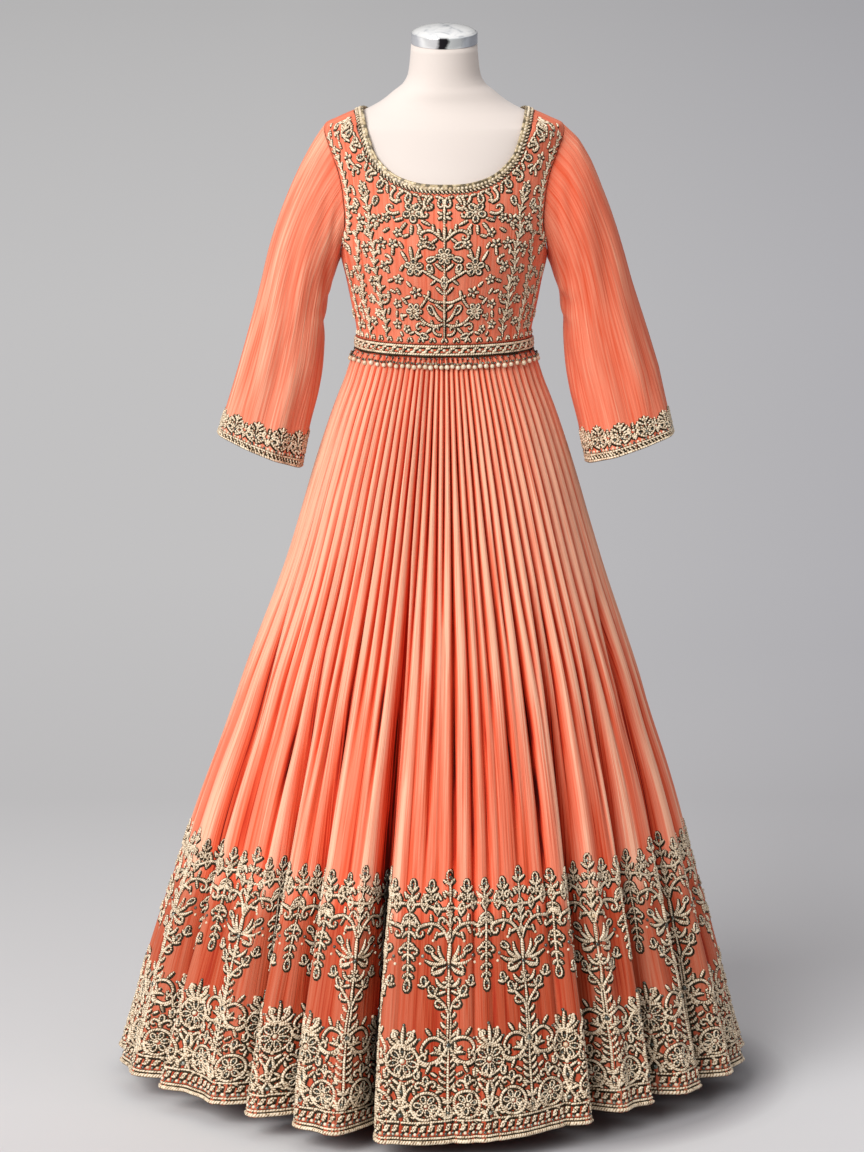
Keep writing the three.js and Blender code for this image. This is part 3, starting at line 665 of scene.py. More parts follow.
# dark thread for outlines, lines and fringe threads; beside each cord it also serves as painted shadow (see lay)
DARK = cord_material("embroidery_dark", (0.012, 0.008, 0.004), (0.050, 0.034, 0.016), 0.0, 0.62)
DARK.node_tree.nodes["Principled BSDF"].inputs["Specular IOR Level"].default_value = 0.12
GOLD = cord_material("gold_trim", (0.60, 0.46, 0.26), (0.93, 0.81, 0.58), 0.12, 0.36)
STONE = stone_material()
PEARL = pearl_material()
JERSEY = jersey_material()
CHROME = cap_material()
STEEL = metal_material("stand_metal", (0.56, 0.57, 0.59), 0.25)

# ------------------------------------------------------------------ skirt
COLS_PER = 10
ZROWS = np.concatenate([np.linspace(WAIST_Z - GAP, 1000, 9)[:-1], np.linspace(1000, 400, 33)[:-1], np.linspace(400, HEM_Z, 33)])
NROW = len(ZROWS)
_f = np.array([0.0, 0.05, 0.11, 0.19, 0.31, 0.5, 0.69, 0.81, 0.89, 0.95])
KALL = np.concatenate([(np.arange(PLEATS)[:, None] + _f[None, :]).ravel(), [PLEATS]]) - PLEATS / 2
SK = skirt_surface(KALL[None, :], ZROWS[:, None])        # rows x cols x 3, first and last column meet
SKN = normals_of(SK)
edge_n = unit(SKN[:, 0] + SKN[:, -1])
SKN[:, 0] = SKN[:, -1] = edge_n
flip = np.sign((SKN * np.stack([SK[..., 0], SK[..., 1], 0 * SK[..., 2]], -1)).sum(-1).mean())
SKN *= flip
# flat coordinates of the cloth: s round the border, h up from the hem
REF = int(np.argmin(np.abs(ZROWS - 190)))
seg = np.linalg.norm(np.diff(SK[REF], axis=0), axis=1)
S_COL = np.concatenate([[0], np.cumsum(seg)])
HEM_LEN = S_COL[-1]
drop = np.linalg.norm(np.diff(SK, axis=0), axis=2).mean(1)
H_ROW = np.concatenate([np.cumsum(drop[::-1])[::-1], [0]])   # height above the hem, along the cloth
SKIRT_THICK = 1.0


def openness(P, N, reach=95.0, rays=26):
    """How clear the space in front of the cloth is: 0 deep in a fold, 1 out on a ridge. It feeds the painted shade of
    the skirt and its embroidery.
    """
    Q, M = P[::2, ::2], N[::2, ::2]
    rows, cols = Q.shape[:2]
    tree = BVHTree.FromPolygons([tuple(v) for v in Q.reshape(-1, 3)], [tuple(int(i) for i in f) for f in grid_faces(rows, cols)])
    i = np.arange(rays) + 0.5
    rad_, turn = np.sqrt(i / rays) * 0.96, i * 2.39996
    dirs = np.stack([rad_ * np.cos(turn), rad_ * np.sin(turn), np.sqrt(1 - rad_ ** 2)], -1)
    n = M.reshape(-1, 3)
    a = unit(np.cross(n, np.array([0.0, 0.0, 1.0])))
    b = np.cross(n, a)
    o = Q.reshape(-1, 3) + n * 2.0
    acc = np.zeros(len(o))
    for d in dirs:
        D = a * d[0] + b * d[1] + n * d[2]
        for j in range(len(o)):
            hit = tree.ray_cast(o[j], D[j], reach)[3]
            acc[j] += 1.0 if hit is None else (hit / reach) ** 0.7
    acc = (acc / rays).reshape(rows, cols)
    r = np.interp(np.arange(P.shape[0]), np.arange(rows) * 2, np.arange(rows))
    c = np.interp(np.arange(P.shape[1]), np.arange(cols) * 2, np.arange(cols))
    r0, c0 = np.minimum(r.astype(int), rows - 2), np.minimum(c.astype(int), cols - 2)
    fr, fc = (r - r0)[:, None], (c - c0)[None, :]
    g = lambda x, y: acc[np.ix_(x, y)]
    return (g(r0, c0) * (1 - fc) + g(r0, c0 + 1) * fc) * (1 - fr) + (g(r0 + 1, c0) * (1 - fc) + g(r0 + 1, c0 + 1) * fc) * fr


def spread(a, n, ring=True):
    """Running mean over 2n+1 columns, twice."""
    m = a[:, :-1] if ring else a
    for _ in range(2):
        c = np.cumsum(np.concatenate([m[:, -n - 1:], m, m[:, :n]], 1), 1)
        m = (c[:, 2 * n + 1:] - c[:, :-2 * n - 1]) / (2 * n + 1)
    return np.concatenate([m, m[:, :1]], 1) if ring else m


# Painted light on the skirt, one level per vertex: lighter on ridges and darker in hollows, from the curvature (_d) and
# from openness, and brighter above the middle (painted highlight and painted shade).
_r = np.hypot(SK[..., 0], SK[..., 1])
_d = _r - spread(_r, 5)
SK_OPEN = openness(SK, SKN)
_usual = np.median(SK_OPEN, axis=1)[:, None]
_high = smooth((ZROWS - 540) / 280)[:, None]
SK_PAINTED_LIGHT = 0.505 + 0.12 * _high + np.minimum(_d, 0) / 6.8 + np.maximum(_d, 0) / 12.0 + (1.05 - 0.45 * _high) * (SK_OPEN - _usual)
# painted shade: nearly black in deep gaps between folds low on the skirt
_gap = smooth((560 - ZROWS) / 200)[:, None] * (1 - smooth((SK_OPEN - 0.20) / 0.30))
_floor = 0.23 * np.maximum(smooth((ZROWS - 480) / 200)[:, None], smooth((SK_OPEN - 0.38) / 0.2))
# painted shade: darker on the right front, lower down, away from the key light
_right = smooth((SK[..., 0] - 40) / 260) * smooth((-SK[..., 1]) / 120) * smooth((620 - ZROWS) / 300)[:, None]
# painted shade: also darker in the hem border; the level stays at or above _floor
SK_PAINTED_LIGHT = np.clip(SK_PAINTED_LIGHT - 0.13 * smooth((355 - ZROWS) / 70)[:, None] - 0.55 * _gap - 0.09 * _right, _floor, 1.0)
# in the hem border, open ground is drawn toward one level (0.38), which flattens its painted highlight
SK_PAINTED_LIGHT += (0.38 - SK_PAINTED_LIGHT) * 0.68 * smooth((355 - ZROWS) / 70)[:, None] * smooth((SK_OPEN - 0.25) / 0.2)
# painted shade for the hem embroidery: its cords are darker where the cloth is shut in by folds
SK_SHADE = 0.90 * np.clip((SK_OPEN - 0.34) / 0.40, 0.05, 1.0)

phis_all = pleat_phi(np.arange(PLEATS) - PLEATS / 2)
seams = sorted(int(np.argmin(np.abs(ang(phis_all - p)))) for p in GORE_SEAMS)
gore_names = ["skirt_back_right", "skirt_front_right", "skirt_front_centre", "skirt_front_left", "skirt_back_left", "skirt_back_centre"]
# the widest spacing of the border, so that the flat pattern closes round the hem
U_COL = S_COL * MM
order = sorted(range(6), key=lambda i: i)
full = PLEATS * COLS_PER
for gi, gname in enumerate(gore_names):
    a = seams[gi] * COLS_PER
    b = seams[(gi + 1) % 6] * COLS_PER
    if b <= a:
        b += full
    idx = np.arange(a, b + 1)
    wrap = np.mod(idx, full)
    P = SK[:, wrap].copy()
    N = SKN[:, wrap]
    # 0.2 mm in from each seam
    for e, nb in ((0, 1), (-1, -2)):
        P[:, e] += 0.2 * unit(P[:, nb] - P[:, e])
    Q = P - N * SKIRT_THICK
    rows, cols = P.shape[:2]
    V, F, _ = shell(P, SKIRT_THICK, sign=flip)
    u = (U_COL[wrap] + np.where(idx >= full, HEM_LEN * MM, 0))
    uv = np.stack(np.broadcast_arrays(u[None, :], (H_ROW * MM)[:, None]), -1).reshape(-1, 2)
    uv = np.concatenate([uv, uv])
    # the outer face takes the skirt's painted light; the inner face gets a fixed darker level, painted shade inside the
    # skirt
    ob = mesh_object(gname + "_cloth", V, F, uv, CREPE, True, np.concatenate([SK_PAINTED_LIGHT[:, wrap].ravel(), 0.35 + 0 * wrap[None, :].repeat(rows, 0).ravel()]))
    # painted shade: the cloth is darker in the embroidered hem border
    dk = ob.data.attributes.new("hem_painted_shade", "FLOAT", "POINT")
    dk.data.foreach_set("value", np.tile(np.repeat(smooth((355 - ZROWS) / 70), cols), 2).astype(np.float32))
    place(ob, gname)

# ------------------------------------------------------------------ bodice
def bodice_grid(rows, edge, back, ncol, nrow):
    """Half panel in direction and height, refined from the table rows."""
    jj = np.arange(len(rows), dtype=float)
    inner = []
    for j, r in enumerate(rows):
        inner.append((0.0, r[0]) if j < SCOOP_ROW else edge[j - SCOOP_ROW])
    q = [dict(j=j, ip=inner[j][0], iz=inner[j][1], op=rows[j][1], oz=rows[j][2]) for j in range(len(rows))]
    lo = [d for d in q if d["j"] <= SCOOP_ROW]
    hi = [d for d in q if d["j"] >= SCOOP_ROW]
    nlo = int(round(nrow * 0.5))
    ts = np.concatenate([np.linspace(0, SCOOP_ROW, nlo)[:-1], np.linspace(SCOOP_ROW, len(rows) - 1, nrow - nlo + 1)])
    op, oz = curve(q, "j", "op")(ts), curve(q, "j", "oz")(ts)
    ip = np.where(ts <= SCOOP_ROW, 0.0, curve(hi, "j", "ip")(ts))
    iz = np.where(ts <= SCOOP_ROW, curve(lo, "j", "iz")(ts), curve(hi, "j", "iz")(ts))
    op = np.minimum(op, 89.88)
    ip = np.minimum(ip, 89.88)
    u = np.linspace(0, 1, ncol)
    phi = (1 - u)[None, :] * ip[:, None] + u[None, :] * op[:, None]
    z = (1 - u)[None, :] * iz[:, None] + u[None, :] * oz[:, None]
    z[0] += GAP
    return phi, z, nlo - 1


def bodice_relief(phi, z):
    """Soft creases of the bodice: fine vertical tucks over the bust and pulls from the armholes."""
    x = phi
    d = 0.45 * np.sin(x * 0.62 + 0.8 * np.sin(z / 60)) * smooth((1290 - z) / 120)
    d = d + 0.35 * np.sin(x * 1.45 + 1.1 * np.sin(z / 85 + 1)) * smooth((1300 - z) / 150)
    for sgn in (-1, 1):
        for (p0, z0, tilt, ln, wd, dp) in ((58, 1215, 0.45, 26, 5.0, 2.4), (64, 1175, 0.30, 24, 4.5, 2.2), (48, 1130, 0.15, 30, 4.0, 1.6),
                                           (70, 1120, 0.12, 26, 4.5, 1.8), (28, 1120, -0.05, 34, 4.0, 1.1), (60, 1335, -0.5, 16, 4.5, 1.5)):
            e = (sgn * x - p0) - tilt * (z - z0) * 0.4
            d = d - dp * np.exp(-((e / wd) ** 2)) * np.exp(-(((z - z0) / ln) ** 2))
            d = d + 0.5 * dp * np.exp(-(((e - 2 * wd) / wd) ** 2)) * np.exp(-(((z - z0) / ln) ** 2))
    return d


def bodice_point(phi, z):
    base = torso(phi, z)
    n = torso_out(phi, z)
    edge = smooth((z - 1079) / 14)
    return base + n * (bodice_relief(np.asarray(ang(phi)), z) * edge)[..., None], n


def make_bodice(name, rows, edge, back):
    ncol, nrow = 40, 84
    phi, z, scoop = bodice_grid(rows, edge, back, ncol, nrow)
    verts, faces, uvs = [], [], []
    T = 0.9
    vid = 0
    layers = []
    for s in (1, -1):
        p = s * (180 - phi) if back else s * phi
        P, n = bodice_point(p, z)
        layers.append((P, n, p))
    # both halves share the centre line below the scoop
    rowsn, cols = phi.shape
    outer_id = {1: np.zeros((rowsn, cols), int), -1: np.zeros((rowsn, cols), int)}
    V = []
    U = []
    for s, (P, n, p) in zip((1, -1), layers):
        for j in range(rowsn):
            for i in range(cols):
                if s == -1 and i == 0 and j <= scoop:
                    outer_id[-1][j, 0] = outer_id[1][j, 0]
                    continue
                outer_id[s][j, i] = len(V)
                V.append(P[j, i])
                U.append((ang(p[j, i] if not back else p[j, i] - 180) * 2.4 * MM, z[j, i] * MM))
    V = np.array(V)
    U = np.array(U)
    NN = np.zeros_like(V)
    for s, (P, n, p) in zip((1, -1), layers):
        NN[outer_id[s].ravel()] = n.reshape(-1, 3)
    n0 = len(V)
    VV = np.concatenate([V, V - NN * T])
    UU = np.concatenate([U, U])
    F = []
    for s in (1, -1):
        I = outer_id[s]
        q = np.stack([I[:-1, :-1], I[:-1, 1:], I[1:, 1:], I[1:, :-1]], -1).reshape(-1, 4)
        if (s > 0) == back:
            q = q[:, ::-1]
        F.append(q)
    F = np.concatenate(F)
    # walls at open edges
    e = np.concatenate([F[:, [0, 1]], F[:, [1, 2]], F[:, [2, 3]], F[:, [3, 0]]])
    key = e[:, 0].astype(np.int64) * 10 ** 7 + e[:, 1]
    rkey = e[:, 1].astype(np.int64) * 10 ** 7 + e[:, 0]
    open_e = e[~np.isin(key, rkey)]
    W = np.stack([open_e[:, 1], open_e[:, 0], open_e[:, 0] + n0, open_e[:, 1] + n0], -1)
    # painted light: the bodice cloth is set at a fixed level lighter than the default
    ob = mesh_object(name + "_cloth", VV, np.concatenate([F, F[:, ::-1] + n0, W]), UU, CREPE, painted_light_and_tone=0.67)
    place(ob, name)
    return ob


BODICE_F = make_bodice("bodice_front", FRONT_ROWS, EDGE_FRONT, False)
BODICE_B = make_bodice("bodice_back", BACK_ROWS, EDGE_BACK, True)

# ------------------------------------------------------------------ sleeves
SL_T, SL_V = 100, 86
SLEEVE_GRID = {}
for nm, s, fl in (("sleeve_left", 1, 0.0), ("sleeve_right", -1, 0.035)):
    t = np.arange(SL_T) / SL_T
    v = np.linspace(0, 10, SL_V)
    P = sleeve_surface(t[None, :], v[:, None], s, fl)
    c = P.mean(1, keepdims=True)
    N = normals_of(P, closed=True)
    sg = np.sign((N * (P - c)).sum(-1).mean())
    V, F, N = shell(P, 1.0, closed=True, sign=sg)
    # map round and along the tube; a closed tube needs its own seam column in the map, and this one has none
    circ = np.linalg.norm(np.roll(P[SL_V // 2], -1, 0) - P[SL_V // 2], axis=1)
    uu = np.concatenate([[0], np.cumsum(circ)])[:-1] * MM
    vv = np.concatenate([[0], np.cumsum(np.linalg.norm(np.diff(P[:, 0], axis=0), axis=1))]) * MM
    uv = np.stack(np.broadcast_arrays(uu[None, :], vv[:, None]), -1).reshape(-1, 2)
    # Painted light on the sleeves: sleeve_right, on the key light's side, is set lighter than sleeve_left; bulges are
    # lighter and creases darker (painted highlight and painted shade); the inner face gets a fixed darker level,
    # painted shade.
    away = np.linalg.norm(P - c, axis=2)
    away = np.concatenate([away, away[:, :1]], 1)
    cr = np.clip((0.80 if s < 0 else 0.66) + (away - spread(away, 6))[:, :-1] / 30.0, 0.3, 0.92)
    ob = mesh_object(nm + "_cloth", V, F, np.concatenate([uv, uv]), CREPE, True, np.concatenate([cr.ravel(), 0.4 + 0 * cr.ravel()]))
    place(ob, nm)
    SLEEVE_GRID[nm] = (P, N)

# ------------------------------------------------------------------ form
n = 112
rings = []
HIPS = table(["z", "side", "front", "back"], [
    (800, 156, 108, 113), (830, 158, 110, 117), (870, 155, 110, 118), (910, 149, 107, 113), (950, 139, 101, 106),
    (985, 127, 95, 97), (1015, 119, 91, 89), (1040, 117.5, 90, 84.5)])
hip = {c: curve(HIPS, "z", c) for c in ("side", "front", "back")}
aa = np.arange(n) * 2 * math.pi / n
for z, e in ((800, 0.0), (800, 0.90), (801.5, 0.935), (806, 0.965), (815, 0.99), (825, 1.0), *[(zz, 1.0) for zz in np.linspace(840, 1040, 11)]):
    c = np.cos(aa)
    rings.append(np.stack([hip["side"](z) * np.sin(aa) * e, -np.where(c >= 0, hip["front"](z), hip["back"](z)) * c * e, np.full(n, float(z))], -1))
for z in np.concatenate([np.linspace(1062, 1360, 28), np.linspace(1364, 1440, 39), np.linspace(1444, 1476, 8)]):
    clear = FORM_CLEAR * (1 - smooth((z - 1398) / 26))
    ph = np.degrees(aa)
    rings.append(torso(ph, z) - torso_out(ph, z) * clear)
for lift, e in ((0, 1.0), (0, 0.0)):
    p = torso(np.degrees(aa), NECK_TOP)
    p[:, 2] = NECK_TOP + math.tan(math.radians(CAP_TILT)) * p[:, 1]
    if e == 0.0:
        p = np.repeat(p.mean(0, keepdims=True), n, 0)
    rings.append(p)
R = np.array(rings)
keep_first = R.copy()
V = R.reshape(-1, 3)
F = grid_faces(len(rings), n, closed=True)
FORM = mesh_object("form_torso_cover", V, F, None, JERSEY)
bm_mod = FORM.modifiers.new("weld", "WELD")
bm_mod.merge_threshold = 1e-5
place(FORM, "form_torso")


def lathe(name, prof, segs, mat, tilt=0.0, z0=0.0):
    a = np.arange(segs) * 2 * math.pi / segs
    rr = np.array([p[0] for p in prof])
    zz = np.array([p[1] for p in prof])
    P = np.stack([rr[:, None] * np.cos(a)[None], rr[:, None] * np.sin(a)[None], np.repeat(zz[:, None], segs, 1)], -1)
    ct, st = math.cos(math.radians(tilt)), math.sin(math.radians(tilt))
    y, z = P[..., 1].copy(), P[..., 2].copy()
    P[..., 1] = y * ct - z * st
    P[..., 2] = y * st + z * ct + z0
    ob = mesh_object(name, P.reshape(-1, 3), grid_faces(len(prof), segs, closed=True), None, mat)
    w = ob.modifiers.new("weld", "WELD")
    w.merge_threshold = 1e-5
    return ob


prof = [(0, 0), (CAP_R - 0.8, 0), (CAP_R - 0.15, 0.3), (CAP_R, 1.0)]
prof += [(CAP_R, 4.0), (CAP_R, 8.0)]
for i in range(7):
    a = i / 6 * math.pi / 2
    prof.append((CAP_R - 2.4 + 2.4 * math.cos(a), CAP_SIDE - 2.4 + 2.4 * math.sin(a)))
for i in range(1, 15):
    a = i / 14 * math.pi / 2
    prof.append(((CAP_R - 2.4) * math.cos(a), CAP_SIDE + CAP_DOME * math.sin(a) ** 1.3))
prof[-1] = (0, CAP_SIDE + CAP_DOME)
CAP = place(lathe("neck_cap_chrome", prof, 128, CHROME, CAP_TILT, NECK_TOP + GAP), "neck_cap")
prof = [(0, 0), (BASE_R - 1.5, 0), (BASE_R - 0.4, 0.5), (BASE_R, 1.5), (BASE_R, 5), (BASE_R - 0.9, 6.4), (BASE_R - 3, 7.5), (BASE_R - 40, 10), (60, 11.6), (34, BASE_H), (0, BASE_H)]
BASE = place(lathe("form_base_plate", prof, 128, STEEL), "form_base")
prof = [(0, BASE_H + GAP), (POLE_R, BASE_H + GAP), (POLE_R, 60), (POLE_R, 300), (POLE_R, 301), (POLE_R - 1.2, 302), (POLE_R - 1.2, 798), (0, 799.4)]
POLE = place(lathe("form_pole_tube", prof, 64, STEEL), "form_pole")

# ------------------------------------------------------------------ neck binding and waist band
def closed_loop(neck_f, neck_b):
    """Directions and heights all round a neckline, from the centre front to the wearer's left and back."""
    f = [(p, z) for p, z in neck_f]
    b = [(180 - p, z) for p, z in neck_b]
    right = f + b[::-1][1:]
    left = [(-p, z) for p, z in right[::-1]][1:-1]
    return right + left


def resample_loop(pts, m):
    """Smooth closed loop through points (Catmull-Rom), evenly spaced."""
    pts = np.asarray(pts, float)
    k = len(pts)
    out = []
    for i in range(k):
        p0, p1, p2, p3 = pts[(i - 1) % k], pts[i], pts[(i + 1) % k], pts[(i + 2) % k]
        t = np.linspace(0, 1, 24, endpoint=False)[:, None]
        out.append(0.5 * ((2 * p1) + (-p0 + p2) * t + (2 * p0 - 5 * p1 + 4 * p2 - p3) * t ** 2 + (-p0 + 3 * p1 - 3 * p2 + p3) * t ** 3))
    c = np.concatenate(out)
    d = np.linalg.norm(np.diff(np.concatenate([c, c[:1]]), axis=0), axis=1)
    s = np.concatenate([[0], np.cumsum(d)])
    q = np.linspace(0, s[-1], m, endpoint=False)
    cc = np.concatenate([c, c[:1]])
    return np.stack([np.interp(q, s, cc[:, i]) for i in range(cc.shape[1])], -1)


M_NECK = 420
in3 = np.array([torso(p, z) for p, z in closed_loop(neck_phi(NECK_FRONT), neck_phi(NECK_BACK))])
out3 = np.array([torso(p, z) for p, z in closed_loop(EDGE_FRONT, EDGE_BACK)])
both = resample_loop(np.concatenate([in3, out3], 1), M_NECK)
NB_IN, NB_OUT = both[:, :3], both[:, 3:]
tang = unit(np.roll(NB_IN, -1, 0) - np.roll(NB_IN, 1, 0))
acr = unit(NB_OUT - NB_IN)
NB_N = unit(np.cross(tang, acr))
if (NB_N * np.stack([NB_IN[:, 0], NB_IN[:, 1], 0 * NB_IN[:, 2] + 20], -1)).sum() < 0:
    NB_N = -NB_N
NB_W = np.linalg.norm(NB_OUT - NB_IN, axis=1)
prof = [(0.0, -0.9), (-0.02, 0.1), (0.05, 0.9), (0.14, 1.25), (0.22, 1.0), (0.30, 0.7), (0.5, 0.8), (0.75, 0.7), (0.93, 0.55), (0.97, 0.0), (0.96, -0.9)]
ringp = []
for w, h in prof:
    ringp.append(NB_IN + acr * (NB_W * w)[:, None] + NB_N * h)
Pn = np.array(ringp)
Vn = Pn.reshape(-1, 3)
Fn = grid_faces(len(prof), M_NECK, closed=True)
k = len(prof)
i = np.arange(M_NECK)
ii = (i + 1) % M_NECK
close = np.stack([(k - 1) * M_NECK + i, (k - 1) * M_NECK + ii, ii, i], -1)
Fn = np.concatenate([Fn, close])
NECK = mesh_object("neck_binding_strip", Vn, Fn, None, GOLD, painted_light_and_tone=0.92)
NECK.data.materials.append(CREPE)
place(NECK, "neck_binding")

n = 240
aa = np.arange(n) * 360 / n
prof = [(WAIST_Z, -0.6), (WAIST_Z, 0.5), (WAIST_Z + 1.2, 0.95), (WAIST_Z + 4, 0.9), (WAIST_Z + 9, 0.7), (WAIST_Z + 14, 0.9), (BAND_TOP_Z - 1.2, 0.95), (BAND_TOP_Z, 0.5), (BAND_TOP_Z, -0.6)]
Pb = np.array([torso(aa, z) + torso_out(aa, z) * h for z, h in prof])
Fb = grid_faces(len(prof), n, closed=True)
i = np.arange(n)
ii = (i + 1) % n
Fb = np.concatenate([Fb, np.stack([(len(prof) - 1) * n + i, (len(prof) - 1) * n + ii, ii, i], -1)])
uvb = np.stack(np.broadcast_arrays((aa * 2.0 * MM)[None, :], np.array([q[0] for q in prof])[:, None] * MM), -1).reshape(-1, 2)
BAND = mesh_object("waist_band_strip", Pb.reshape(-1, 3), Fb, uvb, CREPE)
place(BAND, "waist_band")

# ------------------------------------------------------------------ embroidery, drawn in flat millimetres
class Work:
    """Cords and beads of one flat piece of embroidery: x runs round the cloth, y up it."""

    def __init__(self):
        self.cords = []
        self.beads = []

    def cord(self, pts, w, ends=0.5):
        pts = np.asarray(pts, float)
        w = np.broadcast_to(np.asarray(w, float), (len(pts),)).copy()
        if ends is not None:
            w[0] *= ends
            w[-1] *= ends
        self.cords.append((pts, w))
        return self

    def bead(self, x, y, r, kind="cream"):
        self.beads.append((float(x), float(y), float(r), kind))
        return self

    def leaf(self, x, y, ang_deg, length, w=3.6, bend=0.0):
        a = math.radians(ang_deg)
        t = np.array([0, 0.33, 0.68, 1.0])
        b = bend * length * t * (1 - t) * 4 * 0.25
        c, s = math.cos(a), math.sin(a)
        pts = np.stack([x + length * t * c - b * s, y + length * t * s + b * c], -1)
        self.cords.append((pts, w * np.array([0.5, 1.0, 0.92, 0.3])))
        return self

    def bez(self, p0, p1, p2, p3, w, n=9, ends=0.6):
        t = np.linspace(0, 1, n)[:, None]
        p0, p1, p2, p3 = (np.array(p, float) for p in (p0, p1, p2, p3))
        pts = (1 - t) ** 3 * p0 + 3 * (1 - t) ** 2 * t * p1 + 3 * (1 - t) * t * t * p2 + t ** 3 * p3
        self.cord(pts, w, ends)
        return pts

    def ring(self, x, y, r, w, n=16):
        a = np.linspace(0, 2 * math.pi, n + 1)
        return self.cord(np.stack([x + r * np.cos(a), y + r * np.sin(a)], -1), w, None)

    def eye(self, x, y, ang_deg, length, w=2.7, fat=0.62):
        """An oval petal: a cord round a dark stone."""
        a = math.radians(ang_deg)
        c, s = math.cos(a), math.sin(a)
        t = np.linspace(math.pi, 3 * math.pi, 12)
        lx, ly = length / 2 * (1 + np.cos(t)), length / 2 * fat * np.sin(t) * (0.8 + 0.2 * np.cos(t))
        self.cord(np.stack([x + lx * c - ly * s, y + lx * s + ly * c], -1), w, None)
        return self.bead(x + length * 0.5 * c, y + length * 0.5 * s, length * fat * 0.25, "stone")

    def bloom(self, x, y, r, petals=5, a0=90.0):
        """A flower of oval petals round a pearl."""
        for i in range(petals):
            a = a0 + 360 * i / petals
            c, s = math.cos(math.radians(a)), math.sin(math.radians(a))
            if r > 10:
                self.eye(x + 0.28 * r * c, y + 0.28 * r * s, a, 0.74 * r, 2.5, min(0.95, 4.4 / petals))
            else:
                self.leaf(x + 0.26 * r * c, y + 0.26 * r * s, a, 0.76 * r, 4.2)
        return self.bead(x, y, max(0.2 * r, 2.0), "cream" if r > 10 else "stone")

    def curl(self, p0, a0, length, turn, w, n=12, tight=2.0):
        """A scroll: leaves p0 in direction a0 and winds up by turn degrees, ever tighter."""
        t = np.linspace(0, 1, n)
        head = math.radians(a0) + math.radians(turn) * (t ** tight)
        step = length / (n - 1)
        x = p0[0] + np.concatenate([[0], np.cumsum(np.cos((head[1:] + head[:-1]) / 2) * step)])
        y = p0[1] + np.concatenate([[0], np.cumsum(np.sin((head[1:] + head[:-1]) / 2) * step)])
        pts = np.stack([x, y], -1)
        self.cord(pts, w * (1.05 - 0.25 * t), 0.6)
        return pts

    def fan(self, x, y, mid, spread, count, length, w=3.8, grow=0.0):
        for i in range(count):
            f = 0 if count == 1 else 2 * i / (count - 1) - 1
            self.leaf(x, y, mid + f * spread, length * (1 - grow * abs(f)), w, -0.5 * f)
        return self

    def rosette(self, x, y, r, petals=8, w=4.0, stone=True, ring=False, a0=0.0):
        for i in range(petals):
            a = a0 + 360 * i / petals
            self.leaf(x + 0.30 * r * math.cos(math.radians(a)), y + 0.30 * r * math.sin(math.radians(a)), a, 0.72 * r, w)
        if ring:
            self.ring(x, y, r * 1.16, 2.6, 18)
        self.bead(x, y, max(0.27 * r, 2.4), "stone" if stone else "cream")
        return self

    def spray(self, pts, w, leaf, every, lw=3.4, start=0.0, up=42, both=True, taper=0.35, line=True):
        """A stem through pts with leaves along it."""
        pts = np.asarray(pts, float)
        d = np.concatenate([[0], np.cumsum(np.linalg.norm(np.diff(pts, axis=0), axis=1))])
        if line:
            self.cord(pts, w, 0.6)
        q = np.arange(start + every * 0.5, d[-1], every)
        for i, s in enumerate(q):
            x, y = np.interp(s, d, pts[:, 0]), np.interp(s, d, pts[:, 1])
            e = min(s + 1.0, d[-1])
            x1, y1 = np.interp(e, d, pts[:, 0]), np.interp(e, d, pts[:, 1])
            x0, y0 = np.interp(max(e - 2.0, 0), d, pts[:, 0]), np.interp(max(e - 2.0, 0), d, pts[:, 1])
            h = math.degrees(math.atan2(y1 - y0, x1 - x0))
            L = leaf * (1 - taper * s / d[-1])
            for side in ((1, -1) if both else ((1,) if i % 2 == 0 else (-1,))):
                self.leaf(x, y, h + side * up, L, lw, -0.4 * side)
        return self

    def mirrored(self, axis=0.0):
        out = Work()
        for p, w in self.cords:
            out.cords.append((p, w))
            q = p.copy()
            q[:, 0] = 2 * axis - q[:, 0]
            out.cords.append((q, w))
        for x, y, r, k in self.beads:
            out.beads.append((x, y, r, k))
            out.beads.append((2 * axis - x, y, r, k))
        return out

    def add(self, other, dx=0.0, dy=0.0):
        for p, w in other.cords:
            self.cords.append((p + np.array([dx, dy]), w))
        for x, y, r, k in other.beads:
            self.beads.append((x + dx, y + dy, r, k))
        return self


def cord_arrays(work):
    P, T, W, S, A = [], [], [], [], []
    for i, (p, w) in enumerate(work.cords):
        t = np.gradient(p, axis=0)
        t = t / np.maximum(np.linalg.norm(t, axis=1, keepdims=True), 1e-9)
        d = np.concatenate([[0], np.cumsum(np.linalg.norm(np.diff(p, axis=0), axis=1))])
        P.append(p)
        T.append(t)
        W.append(w)
        S.append(np.full(len(p), i))
        A.append(d)
    return [np.concatenate(q) for q in (P, T, W, S, A)]


def tile(arrs, shifts, wobble):
    """Copies of the cords along the border, each a little different, as hand work is."""
    P, T, W, S, A = arrs
    outs = [[], [], [], [], []]
    base = 0
    for i, dx in enumerate(shifts):
        q = P.copy()
        ph = wobble * (i * 1.7 + 0.4)
        q[:, 0] = q[:, 0] + dx + wobble * (0.9 * np.sin(P[:, 1] / 23 + ph * 3.1) + 0.5 * np.sin(P[:, 1] / 9 + ph * 5.3 + P[:, 0] / 17))
        q[:, 1] = q[:, 1] + wobble * (0.8 * np.sin(P[:, 0] / 19 + ph * 2.3) * smooth((P[:, 1] - 12) / 20))
        outs[0].append(q)
        outs[1].append(T)
        outs[2].append(W * (1 + wobble * 0.06 * math.sin(i * 2.9)))
        outs[3].append(S + base)
        outs[4].append(A)
        base += int(S.max()) + 1
    return [np.concatenate(o) for o in outs]


RAISED = [(-1.0, -0.10), (-0.45, 0.54), (0.45, 0.54), (1.0, -0.10)]


